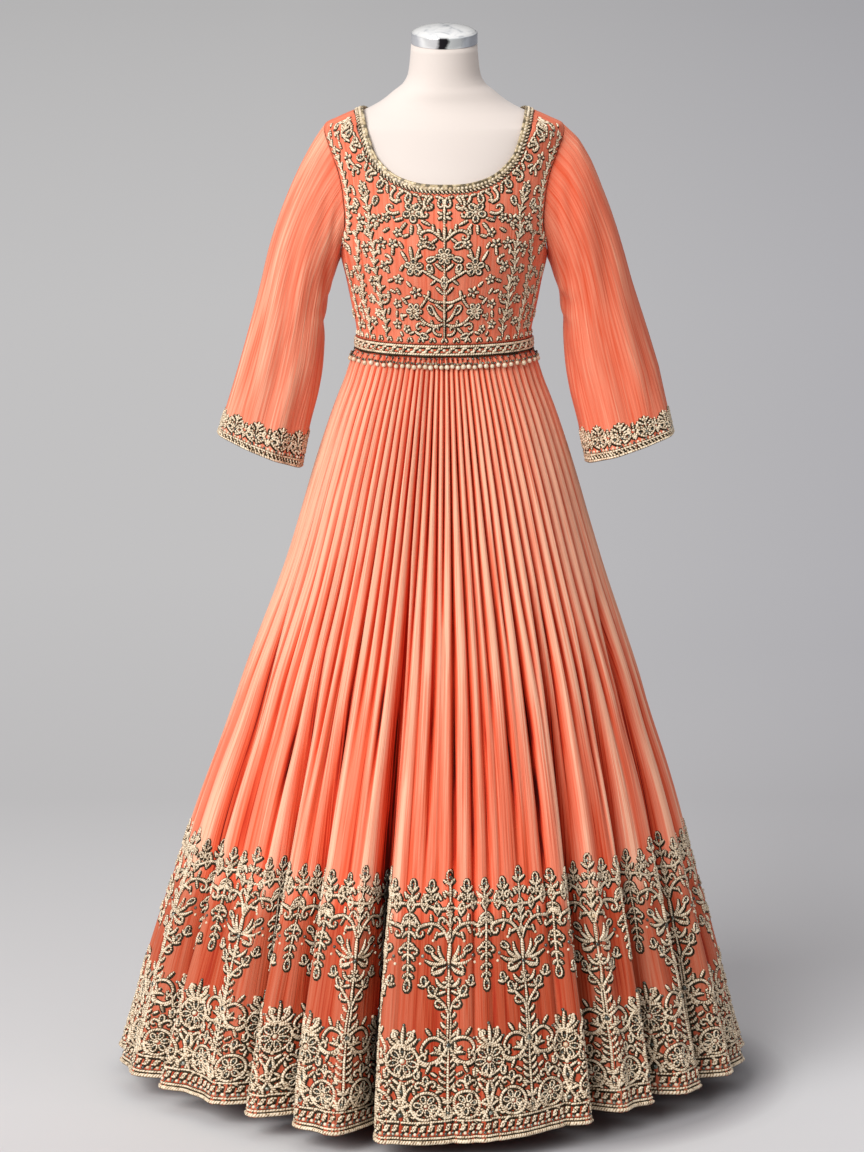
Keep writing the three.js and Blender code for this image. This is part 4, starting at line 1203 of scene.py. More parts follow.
def cords_mesh(name, arrs, fmap, mat, profile=RAISED, grow=0.0, shift=(0.0, 0.0), lift=0.0):
    P, T, W, S, A = arrs
    perp = np.stack([-T[:, 1], T[:, 0]], -1)
    V, UVc, C = [], [], []
    n = len(profile)
    for a, h in profile:
        q = P + perp * ((W / 2 + grow) * a)[:, None] + np.array(shift)
        X, N = fmap(q[:, 0], q[:, 1])
        V.append(X + N * (h * W + lift)[:, None])
        UVc.append(np.stack([A * MM, (a * W / 2) * MM], -1))
        # painted shade: hem cords take the skirt's shade level, darker in folds; other cords stay at 1
        C.append(hem_shade(q[:, 0], q[:, 1]) if fmap is hem_map else np.ones(len(q)))
    V = np.stack(V, 1).reshape(-1, 3)
    C = np.stack(C, 1).ravel()
    UVc = np.stack(UVc, 1).reshape(-1, 2)
    m = np.nonzero(S[:-1] == S[1:])[0]
    j = np.arange(n - 1)
    a = m[:, None] * n + j[None, :]
    F = np.stack([a, a + n, a + n + 1, a + 1], -1).reshape(-1, 4)
    ob = mesh_object(name, V, F, UVc, mat, painted_light_and_tone=C)
    place(ob, None)
    return ob


def beads_mesh(name, beads, fmap, mat, segs=6, high=0.85):
    if not len(beads):
        return None
    B = np.asarray([[b[0], b[1], b[2]] for b in beads], float)
    a = np.arange(segs) * 2 * math.pi / segs
    V = []
    for rr, hh in ((1.0, -0.1), (0.86, 0.5), (0.5, 0.82)):
        x = B[:, 0, None] + B[:, 2, None] * rr * np.cos(a)
        y = B[:, 1, None] + B[:, 2, None] * rr * np.sin(a)
        C, N = fmap(B[:, 0], B[:, 1])
        X, _ = fmap(x.ravel(), y.ravel())
        X = X.reshape(len(B), segs, 3)
        # beads keep round on folded cloth: use the tangent plane at the middle
        V.append(X + N[:, None, :] * (B[:, 2] * hh * high)[:, None, None])
    V.append((C + N * (B[:, 2] * 0.95 * high)[:, None])[:, None, :])
    V = np.concatenate(V, 1)
    per = V.shape[1]
    V = V.reshape(-1, 3)
    i = np.arange(segs)
    k = (i + 1) % segs
    F1 = np.concatenate([np.stack([i, k, k + segs, i + segs], -1), np.stack([i + segs, k + segs, k + 2 * segs, i + 2 * segs], -1)])
    T1 = np.stack([i + 2 * segs, k + 2 * segs, np.full(segs, 3 * segs), np.full(segs, 3 * segs)], -1)
    T1 = np.stack([i + 2 * segs, k + 2 * segs, np.full(segs, 3 * segs)], -1)
    off = (np.arange(len(B)) * per)[:, None, None]
    Q = (F1[None] + off).reshape(-1, 4)
    Tt = (T1[None] + off).reshape(-1, 3)
    tri = np.concatenate([Q[:, [0, 1, 2]], Q[:, [0, 2, 3]], Tt])
    ob = mesh_object(name, V, tri, None, mat)
    place(ob, None)
    return ob


FLAT = [(-1.0, 0.0), (1.0, 0.0)]


def lay(name, arrs, beads, fmap, dark_grow=1.5, shift=(0.7, -0.75), fine=0.86):
    arrs = [arrs[0], arrs[1], arrs[2] * fine, arrs[3], arrs[4]]
    cords_mesh(name + "_cords", arrs, fmap, CORD, lift=0.35)
    # dark underlay round each cord: partly a dark outline thread, partly painted shadow, widened by dark_grow and
    # pushed aside by shift, mostly toward the lower right
    cords_mesh(name + "_shade", arrs, fmap, DARK, profile=FLAT, grow=dark_grow, shift=shift, lift=0.3)
    beads_mesh(name + "_pearls", [b for b in beads if b[3] == "cream"], fmap, PEARL)
    beads_mesh(name + "_stones", [b for b in beads if b[3] == "stone"], fmap, STONE)


# ---- hem border
REPEATS = int(round(HEM_LEN / 124.0))
RW = HEM_LEN / REPEATS
HALF = RW / 2
_row_of_h = lambda h: np.interp(h, H_ROW[::-1], np.arange(NROW)[::-1].astype(float))
S_ZERO = float(np.interp(pleat_count(2.5), KALL, S_COL))      # a stem stands near the centre of the front


def hem_map(s, h):
    s = np.mod(s + S_ZERO, HEM_LEN)
    c = np.interp(s, S_COL, np.arange(len(S_COL)).astype(float))
    r = _row_of_h(h)
    c0 = np.clip(np.floor(c).astype(int), 0, len(S_COL) - 2)
    r0 = np.clip(np.floor(r).astype(int), 0, NROW - 2)
    fc, fr = (c - c0)[:, None], (r - r0)[:, None]
    out = []
    for G in (SK, SKN):
        out.append((G[r0, c0] * (1 - fc) + G[r0, c0 + 1] * fc) * (1 - fr) + (G[r0 + 1, c0] * (1 - fc) + G[r0 + 1, c0 + 1] * fc) * fr)
    return out[0], unit(out[1])


# painted shade for the hem embroidery, read from SK_SHADE
def hem_shade(s, h):
    s = np.mod(s + S_ZERO, HEM_LEN)
    c = np.rint(np.interp(s, S_COL, np.arange(len(S_COL)).astype(float))).astype(int)
    r = np.rint(_row_of_h(h)).astype(int)
    return SK_SHADE[r, c]


def hem_motif():
    X = HALF
    H = Work()                                       # right half, mirrored about the stem
    # round flower
    H.ring(29, 53, 18.5, 4.4, 22)
    H.bloom(29, 53, 14.5, 6, 12)
    for i in range(9):
        a = 40 * i + 8
        H.leaf(29 + 21.5 * math.cos(math.radians(a)), 53 + 21.5 * math.sin(math.radians(a)), a + 30, 8.5, 4.4)
    H.curl((4, 33), 84, 44, -340, 4.4)
    H.curl((X - 5, 33), 98, 38, 330, 4.2)
    H.curl((14, 34), 20, 20, 240, 3.6, 9)
    H.leaf(8, 70, 60, 11, 4.6).leaf(X - 9, 74, 130, 11, 4.6)
    H.curl((29, 80), 50, 26, -300, 4.0, 10)
    H.curl((29, 80), 130, 26, 300, 4.0, 10)
    H.fan(11, 121, 50, 42, 3, 15, 4.4)
    H.eye(29, 80, 90, 13)
    # feather under the stem
    for i, h in enumerate(np.arange(73, 126, 9.0)):
        H.leaf(1.8, h, 40, 13.0 - 0.4 * i, 4.6, -0.5)
    # arms that join the stem's foot to the crowned flower
    H.bez((1.5, 131), (12, 108), (30, 103), (X - 19, 119), 4.8, 12)
    H.curl((28, 107), 15, 34, 320, 4.2, 12)
    H.curl((20, 111), 200, 22, -270, 3.8, 9)
    H.bez((2, 133), (16, 148), (32, 148), (38, 130), 4.6, 10)
    H.curl((37, 134), -75, 22, -290, 3.8, 10)
    H.leaf(14, 144, 84, 12, 4.6).leaf(25, 147, 55, 13, 4.6).leaf(12, 117, -70, 12, 4.4).leaf(24, 108, -66, 12, 4.4)
    H.eye(42, 103, -100, 13).bead(46, 86, 2.4, "cream")
    H.leaf(14, 92, 34, 11, 4.4).leaf(40, 92, 110, 10, 4.2)
    # trunk
    H.cord([(2.3, 133), (2.0, 150), (2.3, 164), (1.4, 178)], 3.2)
    for h, L in ((142, 13), (155, 13), (168, 12)):
        H.leaf(3, h, 46, L, 4.6, -0.5)
    H.bez((1, 172), (4, 188), (11, 189), (20, 200), 4.2, 8)
    H.eye(20, 199, 62, 15).leaf(19, 200, 110, 11, 4.4).leaf(20, 198, 14, 11, 4.4)
    H.curl((7, 184), -14, 24, 260, 3.6, 9)
    H.leaf(5, 209, 44, 19, 5.6, -0.6).leaf(4, 204, -16, 13, 4.6).bead(22, 228, 2.6, "cream")
    # leaf cluster
    for a, L, w in ((10, 34, 5.6), (36, 31, 5.6), (62, 27, 5.4)):
        H.leaf(4, 242, a, L, w, -0.5)
    H.eye(24, 258, 30, 14).leaf(4, 236, -16, 24, 4.8, -0.3)
    H.bead(40, 252, 2.8, "stone").bead(25, 272, 2.4, "cream").bead(43, 242, 2.2, "cream")
    H.curl((9, 232), -34, 30, 290, 4.2, 11)
    # arching scrolls
    H.bez((2, 268), (8, 290), (26, 302), (46, 291), 4.6, 11)
    H.curl((38, 295), -14, 38, -330, 4.4, 13)
    H.curl((18, 290), 80, 26, 290, 4.0, 11)
    H.leaf(9, 282, -14, 13, 4.6).leaf(29, 293, -62, 13, 4.6).leaf(30, 298, 84, 10, 4.2).leaf(6, 277, 120, 9, 4.0)
    H.eye(49, 292, 42, 14).leaf(20, 284, -72, 11, 4.2)
    # one bud in the open ground
    H.eye(34, 212, 76, 14).leaf(34, 212, 130, 10, 4.2).leaf(35, 212, 20, 10, 4.2)
    # buds above the garland
    H.curl((14, 325), 66, 28, -310, 4.0, 11)
    H.curl((46, 325), 114, 28, 310, 4.0, 11)
    H.cord([(30, 322), (31, 332), (30, 338)], 3.4).eye(30, 337, 90, 16).leaf(29, 336, 140, 12, 4.6).leaf(31, 336, 40, 12, 4.6)
    H.leaf(23, 327, 118, 10, 4.4).leaf(38, 327, 62, 10, 4.4).leaf(7, 328, 62, 11, 4.4).leaf(54, 328, 118, 11, 4.4)
    M = H.mirrored()
    # on the stem
    M.cord([(0, 33), (0, 60), (0, 96), (0, 132)], 3.8)
    M.eye(0, 34, 90, 17).leaf(0, 34, 30, 16, 4.8).leaf(0, 34, 150, 16, 4.8).leaf(0, 54, 50, 13, 4.6).leaf(0, 54, 130, 13, 4.6)
    M.bead(0, 133, 4.2, "stone").ring(0, 133, 6.4, 3.0, 12).leaf(0, 183, 90, 16, 5.0)
    M.cord([(0, 178), (0, 200), (0, 224), (0, 244)], 3.4)
    M.bloom(0, 216, 9.5, 6, 0)
    M.leaf(0, 240, 90, 32, 6.2).bead(0, 237, 3.6, "stone").bead(0, 277, 3.0, "cream")
    M.cord([(0, 274), (0, 292), (0, 312)], 3.4).leaf(0, 289, 56, 13, 4.6).leaf(0, 289, 124, 13, 4.6).leaf(0, 301, 50, 10, 4.2).leaf(0, 301, 130, 10, 4.2)
    M.cord([(0, 322), (0, 336), (0, 346)], 3.6).eye(0, 346, 90, 19).leaf(0, 345, 34, 14, 5.0).leaf(0, 345, 146, 14, 5.0)
    M.leaf(0, 331, 38, 12, 4.6).leaf(0, 331, 142, 12, 4.6)
    # on the line between two stems
    E = Work()
    E.bez((X - 12, 32), (X - 2, 50), (X + 10, 58), (X + 1, 86), 4.4, 11)
    E.leaf(X, 60, 60, 18, 5.0).leaf(X, 50, 26, 15, 4.8)
    E.leaf(X + 4, 82, 36, 12, 4.6).leaf(X + 2, 92, 66, 9, 4.2)
    E.curl((X + 3, 139), 10, 30, 300, 4.2, 11)
    E.leaf(X + 2, 133, 64, 21, 5.4, -0.5).leaf(X + 2, 131, 36, 22, 5.2, -0.5).leaf(X + 2, 129, 8, 16, 4.8)
    E.bead(X + 14, 153, 2.6, "cream").bead(X + 22, 142, 2.4, "stone")
    for h, L in ((300, 13), (285, 13), (270, 13), (255, 12), (241, 11), (229, 9)):
        E.leaf(X + 1, h, -46, L, 4.4, 0.5)
    E.curl((X + 1, 308), -20, 28, -290, 4.0, 11)
    E.curl((X + 2, 262), 20, 22, -270, 3.6, 10)
    E.leaf(X, 326, 42, 12, 4.6)
    E2 = E.mirrored(X)
    E2.bead(X, 40, 3.8, "stone").eye(X, 62, 90, 20).bead(X, 90, 3.0, "cream")
    E2.bloom(X, 113, 19.0, 7, 90).ring(X, 113, 21.5, 3.4, 24)
    E2.leaf(X, 134, 90, 26, 5.6).bead(X, 161, 2.8, "stone")
    E2.cord([(X, 314), (X, 290), (X, 262), (X, 236), (X, 218)], 3.4).eye(X, 222, -90, 16)
    E2.cord([(X, 320), (X, 334), (X, 340)], 3.4).eye(X, 338, 90, 16).leaf(X, 337, 42, 12, 4.6).leaf(X, 337, 138, 12, 4.6)
    M.add(E2)
    # garland and bottom bands, unbroken round the hem
    x = np.linspace(-X, X, 17)
    y = 317.5 - 4.5 * np.cos(2 * math.pi * x / (2 * X)) + 1.5 * np.cos(6 * math.pi * x / (2 * X))
    M.cord(np.stack([x, y], -1), 4.6, None)
    for i in range(12):
        xx = -X + (i + 0.5) * 2 * X / 12
        yy = float(np.interp(xx, x, y))
        M.leaf(xx, yy + 1, 58 if i % 2 else 122, 9, 4.2).leaf(xx, yy - 1, -56 if i % 2 else -124, 10, 4.2)
    for h, w in ((3.0, 6.4), (8.9, 3.6), (31.0, 3.4)):
        M.cord(np.stack([x, 0 * x + h], -1), w, None)
    m = 22
    for i in range(m):
        M.bead(-X + (i + 0.5) * 2 * X / m, 13.9 + 0.8 * (i % 2), 2.5, "cream" if i % 2 else "stone")
    m = 11
    for i in range(m):
        xx = -X + (i + 0.5) * 2 * X / m
        M.leaf(xx - 4.8, 19.6, 34, 8.4, 4.4, -1.2)
        M.leaf(xx + 4.8, 25.2, 214, 8.4, 4.4, -1.2)
        M.bead(xx, 22.4, 1.9, "stone")
    return M


HEM = hem_motif()
HA = cord_arrays(HEM)
per = -(-REPEATS // 6)
for g in range(6):
    ids = [i for i in range(g * per, min((g + 1) * per, REPEATS))]
    if not ids:
        continue
    sh = [i * RW for i in ids]
    arrs = tile(HA, sh, 1.0)
    bd = []
    for i, dx in zip(ids, sh):
        for b in HEM.beads:
            bd.append((b[0] + dx, b[1], b[2] * (0.92 + 0.16 * RNG.random()), b[3]))
    lay(f"hem_border_{g + 1}", arrs, bd, hem_map, 2.0, (0.9, -1.0), 0.86)


# ---- bodice front
def bodice_map(u, v):
    phi = np.degrees(np.asarray(u) / 140.0)
    P, N = bodice_point(phi, np.asarray(v, float))
    return P, N


def u_of(x, z):
    return 140 * math.radians(float(phi_of_x(x, z)))


def bodice_motif():
    B = Work()
    edge = np.array([(140 * math.radians(p), z) for p, z in EDGE_FRONT])

    def off(path, d):
        t = np.gradient(path, axis=0)
        t = t / np.linalg.norm(t, axis=1, keepdims=True)
        return path + np.stack([t[:, 1], -t[:, 0]], -1) * d
    q = edge[:-1]
    k = np.linspace(0, len(q) - 1, 60)
    fine = np.stack([np.interp(k, np.arange(len(q)), q[:, 0]), np.interp(k, np.arange(len(q)), q[:, 1])], -1)
    for _ in range(6):
        fine[1:-1] = (fine[:-2] + 2 * fine[1:-1] + fine[2:]) / 4
    d = np.concatenate([[0], np.cumsum(np.linalg.norm(np.diff(fine, axis=0), axis=1))])
    path = off(fine, 5.0)
    tan = np.gradient(fine, axis=0)
    # leaves, curls and small flowers along the neck
    for i, s in enumerate(np.arange(3, d[-1] - 3, 9.6)):
        j = int(np.argmin(np.abs(d - s)))
        h = math.degrees(math.atan2(tan[j, 1], tan[j, 0]))
        p = path[j]
        if i % 4 == 0:
            B.eye(p[0], p[1], h - 90, 13)
        elif i % 4 == 2:
            B.curl((p[0], p[1]), h - 60, 32, -290, 3.6, 12)
        else:
            B.leaf(p[0], p[1], h - 58 if i % 4 == 1 else h - 120, 12.5, 4.0, 0.4)
            c = off(fine, 17.5)[j]
            B.leaf(c[0], c[1], h - 40, 10.5, 3.8, 0.3)
        B.leaf(p[0], p[1], h + 6, 8.0, 3.4)
    # leafy flowers to both sides of the middle
    B.bloom(40, 1266, 13.0, 5, -90)
    for a in (-150, -118, -84, -50, -18):
        B.leaf(41 + 13 * math.cos(math.radians(a)), 1262 + 13 * math.sin(math.radians(a)), a, 13.5, 4.2)
    B.curl((22, 1274), -30, 28, -300, 3.6, 11)
    B.curl((58, 1266), -24, 36, 310, 3.8, 12)
    B.leaf(60, 1278, 30, 12, 4.0).bead(66, 1258, 2.6, "stone")
    # tree of flowers
    B.bez((1, 1228), (9, 1236), (17, 1246), (27, 1240), 3.6, 8)
    B.curl((20, 1242), -10, 30, -310, 3.6, 11)
    B.leaf(6, 1234, 76, 11, 4.0).leaf(14, 1241, 84, 10, 3.8).leaf(9, 1231, -40, 11, 3.8)
    B.eye(13, 1218, 28, 14).eye(12, 1204, -20, 12)
    B.bez((1, 1168), (10, 1172), (20, 1180), (30, 1186), 3.6, 8)
    B.bloom(42, 1190, 12.0, 5, 20)
    B.leaf(38, 1200, 106, 17, 4.4).leaf(44, 1202, 84, 18, 4.4).leaf(51, 1199, 60, 16, 4.4)
    B.leaf(30, 1186, -50, 11, 4.0).leaf(20, 1180, 110, 11, 4.0).eye(17, 1182, 70, 13).leaf(12, 1172, -40, 10, 3.8)
    B.bez((2, 1140), (14, 1138), (22, 1146), (31, 1150), 3.6, 8)
    B.bloom(41, 1154, 9.0, 5, 70)
    B.leaf(24, 1147, 100, 11, 4.0).leaf(26, 1146, -60, 11, 4.0).leaf(48, 1162, 50, 10, 3.8).leaf(50, 1148, -20, 10, 3.8)
    B.bez((2, 1108), (16, 1102), (30, 1106), (38, 1118), 3.8, 9)
    B.bloom(46, 1126, 11.5, 6, 60)
    B.curl((30, 1106), 30, 26, -290, 3.6, 11)
    B.leaf(18, 1103, 80, 12, 4.2).leaf(20, 1102, -40, 12, 4.0).leaf(56, 1136, 50, 12, 4.2).leaf(58, 1120, -10, 12, 4.0).leaf(36, 1132, 130, 10, 3.8)
    B.eye(16, 1122, 60, 15).leaf(3, 1112, 52, 19, 4.6, -0.5).leaf(2, 1128, 40, 15, 4.2)
    B.curl((4, 1092), 0, 30, 300, 3.6, 11)
    B.eye(26, 1088, 20, 13).leaf(38, 1092, 30, 11, 4.0).leaf(48, 1096, -20, 10, 3.8)
    B.leaf(2, 1152, 46, 15, 4.2).leaf(2, 1186, 44, 15, 4.2)
    # side sprays, up from the waist
    def stalk(pts, L, lw, step, flowers):
        B.spray(pts, 3.2, L, step, lw, taper=0.08)
        for x, z, r, a in flowers:
            B.bloom(x, z, r, 5, a)
    stalk([(100, 1086), (97, 1110), (103, 1136), (98, 1160), (104, 1186), (101, 1212), (108, 1238), (104, 1262), (110, 1284)], 13, 4.2, 12.5,
          ((88, 1222, 9.0, 20), (118, 1214, 8.5, 80), (92, 1254, 9.5, 50), (121, 1252, 8.5, 10), (86, 1190, 8.0, 60), (112, 1166, 7.5, 10)))
    B.eye(110, 1284, 90, 16).leaf(110, 1284, 136, 13, 4.2).leaf(110, 1284, 44, 13, 4.2).eye(96, 1274, 120, 13).eye(122, 1270, 50, 12)
    B.curl((96, 1136), 170, 26, -300, 3.6, 11)
    B.curl((104, 1112), 20, 26, 300, 3.6, 11)
    B.curl((84, 1206), 190, 26, 300, 3.6, 11)
    B.leaf(84, 1168, 160, 11, 4.0).leaf(82, 1156, 200, 10, 3.8).leaf(84, 1238, 150, 12, 4.0)
    B.bloom(76, 1106, 7.5, 5, 90).leaf(76, 1116, 100, 11, 4.0).leaf(72, 1096, -120, 8, 3.6)
    stalk([(138, 1086), (134, 1112), (140, 1138), (135, 1164), (140, 1190), (134, 1214), (138, 1236)], 11.5, 4.0, 12.5,
          ((121, 1140, 7.5, 30), (122, 1108, 7.0, 60), (154, 1124, 7.5, 20), (153, 1176, 7.5, 70)))
    stalk([(176, 1086), (173, 1108), (178, 1130), (174, 1150), (178, 1170)], 11, 3.9, 12.5, ((159, 1100, 7.0, 20), (160, 1150, 7.0, 60), (194, 1112, 7.0, 30)))
    B.eye(178, 1170, 90, 14)
    B.curl((156, 1200), 100, 26, -300, 3.6, 11)
    # beside the armhole
    arm = [(math.radians(p) * 140, z) for p, z in ((72, 1208), (63, 1233), (59.6, 1258), (59.0, 1284), (60.8, 1310), (65.4, 1336), (72, 1357))]
    B.spray(arm, 3.2, 11, 11.5, 4.0, taper=0.0)
    for x, z, f in ((127, 1310, 1), (128, 1284, -1), (130, 1232, 1)):
        B.curl((x, z), 90, 28, 300 * f, 3.6, 11)
    B.bloom(132, 1266, 7.5, 5, 90)
    # shoulder
    B.bloom(134, 1334, 9.0, 5, 0)
    B.curl((120, 1318), 70, 32, -300, 3.6, 12)
    B.leaf(146, 1346, 70, 11, 4.0).leaf(150, 1342, 20, 10, 3.8)
    B.curl((150, 1358), 100, 20, -280, 3.2, 10)
    B.leaf(168, 1362, 60, 9, 3.6).leaf(136, 1356, 100, 8, 3.6).bead(160, 1370, 2.2, "stone").leaf(172, 1374, 40, 7, 3.2).leaf(150, 1380, 120, 7, 3.2)
    for x, z, r in ((72, 1136, 7.5), (66, 1172, 7.5), (70, 1222, 8.0), (62, 1238, 7.0), (78, 1258, 7.0), (112, 1298, 8.0), (118, 1184, 7.0), (112, 1120, 6.5), (30, 1222, 6.5), (60, 1100, 6.5), (146, 1150, 6.0)):
        B.bloom(x, z, r, 5, x * 7.0)
    for x, z, a in ((66, 1150, 60), (62, 1184, 120), (80, 1180, 70), (72, 1206, 100), (56, 1232, 160), (56, 1216, 60), (84, 1144, 80), (90, 1120, 110), (34, 1236, 100), (30, 1208, -30), (66, 1112, 80),
                    (116, 1200, 60), (116, 1232, 120), (124, 1236, 60), (96, 1240, 100), (92, 1206, 80), (112, 1150, 100), (112, 1136, 60), (148, 1108, 80), (148, 1138, 100), (146, 1164, 80), (166, 1166, 100)):
        B.leaf(x, z, a, 11, 4.2)
    B.cords = [(p, w * 1.08) for p, w in B.cords]
    M = B.mirrored()
    M.cord([(0, 1284), (0, 1262), (0, 1236), (0, 1216)], 3.4)
    M.cord([(0, 1196), (0, 1176), (0, 1140), (0, 1086)], 3.4)
    M.bloom(0, 1262, 10.0, 6, 90)
    M.bloom(0, 1206, 11.0, 6, 0)
    M.leaf(0, 1232, 90, 16, 4.6).eye(0, 1160, 90, 17).bead(0, 1140, 3.0, "cream")
    M.leaf(0, 1112, 90, 24, 5.2).bead(0, 1106, 3.4, "stone")
    m = 44
    for i in range(m):
        uu = -205 + (i + 0.5) * 410 / m
        M.leaf(uu, 1081.5, 60 if i % 2 else 120, 8.0, 3.6)
        if i % 4 == 1:
            M.bead(uu + 4.6, 1085.0, 1.9, "stone")
    return M


BO = bodice_motif()
lay("bodice_embroidery", cord_arrays(BO), BO.beads, bodice_map)


# ---- cuffs
def cuff_map_for(nm):
    P, N = SLEEVE_GRID[nm]
    L = np.concatenate([[0], np.cumsum(np.linalg.norm(np.diff(P[::-1], axis=0), axis=2).mean(1))])

    def f(u, d):
        t = np.mod(np.asarray(u) / CUFF_LEN, 1.0) * SL_T
        if nm == "sleeve_right":
            t = np.mod(SL_T / 2 - t, SL_T)
        r = (SL_V - 1) - np.interp(d, L, np.arange(SL_V).astype(float))
        c0 = np.floor(t).astype(int)
        r0 = np.clip(np.floor(r).astype(int), 0, SL_V - 2)
        fc, fr = (t - c0)[:, None], (r - r0)[:, None]
        c0 = c0 % SL_T
        c1 = (c0 + 1) % SL_T
        o = []
        for G in (P, N):
            o.append((G[r0, c0] * (1 - fc) + G[r0, c1] * fc) * (1 - fr) + (G[r0 + 1, c0] * (1 - fc) + G[r0 + 1, c1] * fc) * fr)
        return o[0], unit(o[1])
    return f


CUFF_LEN = float(np.linalg.norm(np.roll(SLEEVE_GRID["sleeve_left"][0][-1], -1, 0) - SLEEVE_GRID["sleeve_left"][0][-1], axis=1).sum())
CUFF_N = int(round(CUFF_LEN / 34.0))
CW = CUFF_LEN / CUFF_N


def cuff_motif():
    C = Work()
    X = CW / 2
    x = np.linspace(-X, X, 7)
    for h, w in ((1.9, 3.6), (9.4, 3.0)):
        C.cord(np.stack([x, 0 * x + h], -1), w, None)
    for i in range(6):
        C.leaf(-X + (i + 0.5) * 2 * X / 6 - 2.2, 3.4, 52, 6.4, 3.0)
    for i in range(6):
        C.bead(-X + (i + 0.5) * 2 * X / 6, 12.8, 2.1, "cream" if i % 3 else "stone")
    H = Work()
    H.curl((1.5, 16), 20, 34, 320, 3.6, 12)
    H.curl((X - 1, 18), 100, 26, 290, 3.4, 11)
    H.leaf(3, 34, 40, 10, 3.8).leaf(9, 29, 70, 9, 3.6).leaf(X - 3, 30, 120, 9, 3.6).bead(9, 23, 2.2, "stone")
    M = H.mirrored()
    M.rosette(0, 23, 6.5, 6, 3.2, True)
    M.cord([(0, 28), (0, 34), (0, 38)], 2.6).fan(0, 37, 90, 46, 3, 10, 3.8).bead(0, 35, 2.2, "cream")
    M.leaf(X, 16, 90, 11, 3.8).leaf(X, 32, 90, 9, 3.6).bead(X, 30, 2.2, "cream")
    M.add(C)
    return M


CU = cuff_motif()
CA = cord_arrays(CU)
for nm in ("sleeve_left", "sleeve_right"):
    sh = [i * CW for i in range(CUFF_N)]
    bd = [(b[0] + dx, b[1], b[2], b[3]) for dx in sh for b in CU.beads]
    fm = cuff_map_for(nm)
    if nm == "sleeve_right":
        g = fm
        fm = lambda u, d, g=g: g(u, d)
    lay("cuff_" + nm[7:], tile(CA, sh, 0.8), bd, fm)


# ---- neck trim
NB_S = np.concatenate([[0], np.cumsum(np.linalg.norm(np.diff(np.concatenate([NB_IN, NB_IN[:1]]), axis=0), axis=1))])


def neck_map(s, w):
    """s along the neck edge, w millimetres out from it."""
    s = np.mod(s, NB_S[-1])
    c = np.interp(s, NB_S, np.arange(M_NECK + 1).astype(float))
    c0 = np.floor(c).astype(int) % M_NECK
    c1 = (c0 + 1) % M_NECK
    f = (c - np.floor(c))[:, None]
    I = NB_IN[c0] * (1 - f) + NB_IN[c1] * f
    O = NB_OUT[c0] * (1 - f) + NB_OUT[c1] * f
    N = unit(NB_N[c0] * (1 - f) + NB_N[c1] * f)
    return I + (O - I) * (np.asarray(w)[:, None] / BINDING_WIDTH) + N * 0.5, N


NT = Work()
LN = float(NB_S[-1])
m = int(LN / 5.4)
for i in range(m):
    s = (i + 0.5) * LN / m
    NT.bead(s, 5.2, 2.25, "cream")
    NT.leaf(s - 1.6, 8.0, 48, 5.4, 2.9)
lay("neck_trim", cord_arrays(NT), NT.beads, neck_map, 1.3, (0.4, 0.2))


# ---- waist band and the beads under it
def band_map(u, v):
    phi = np.degrees(np.asarray(u) / 118.0)
    P = torso(phi, v)
    N = torso_out(phi, v)
    return P + N * 0.9, N


WB = Work()
LW = 2 * math.pi * 118.0
m = 46
for i in range(m):
    s = (i + 0.5) * LW / m
    st = LW / m
    WB.leaf(s - 6.2, 1067.2, 32, 8.6, 4.2, -1.0)
    WB.leaf(s + 6.2, 1073.2, 212, 8.6, 4.2, -1.0)
    WB.bead(s, 1070.2, 1.9, "stone")
    WB.bead(s + st / 2, 1070.2, 2.4, "cream")
x = np.linspace(0, LW, 181)
WB.cord(np.stack([x, 0 * x + 1064.6], -1), 3.2, None)
WB.cord(np.stack([x, 0 * x + 1075.8], -1), 3.4, None)
lay("waist_trim", cord_arrays(WB), WB.beads, band_map, 1.4, (0.3, -0.6), 1.0)
WL = Work()
x = np.linspace(0, LW, 361)
WL.cord(np.stack([x, 1062.0 + 0.7 * np.sin(x / 9.0) + 0.4 * np.sin(x / 3.7)], -1), 2.6, None)
cords_mesh("waist_trim_dark_line", cord_arrays(WL), band_map, DARK, lift=0.5)


def spheres(name, C, R, mat, segs=10, rings=6, tall=1.0):
    C, R = np.asarray(C, float), np.asarray(R, float)
    a = np.arange(segs) * 2 * math.pi / segs
    e = np.linspace(-math.pi / 2, math.pi / 2, rings + 1)[1:-1]
    pts = [np.array([[0, 0, -1.0]])]
    for q in e:
        pts.append(np.stack([np.cos(q) * np.cos(a), np.cos(q) * np.sin(a), np.full(segs, math.sin(q))], -1))
    pts.append(np.array([[0, 0, 1.0]]))
    S = np.concatenate(pts) * np.array([1, 1, tall])
    n = len(S)
    i = np.arange(segs)
    k = (i + 1) % segs
    T = [np.stack([np.zeros(segs, int), 1 + k, 1 + i], -1)]
    for r in range(len(e) - 1):
        o = 1 + r * segs
        T.append(np.stack([o + i, o + k, o + segs + k], -1))
        T.append(np.stack([o + i, o + segs + k, o + segs + i], -1))
    o = 1 + (len(e) - 1) * segs
    T.append(np.stack([o + i, o + k, np.full(segs, n - 1)], -1))
    T = np.concatenate(T)
    V = (C[:, None, :] + S[None] * R[:, None, None]).reshape(-1, 3)
    F = (T[None] + (np.arange(len(C)) * n)[:, None, None]).reshape(-1, 3)
    return place(mesh_object(name, V, F, None, mat), None)


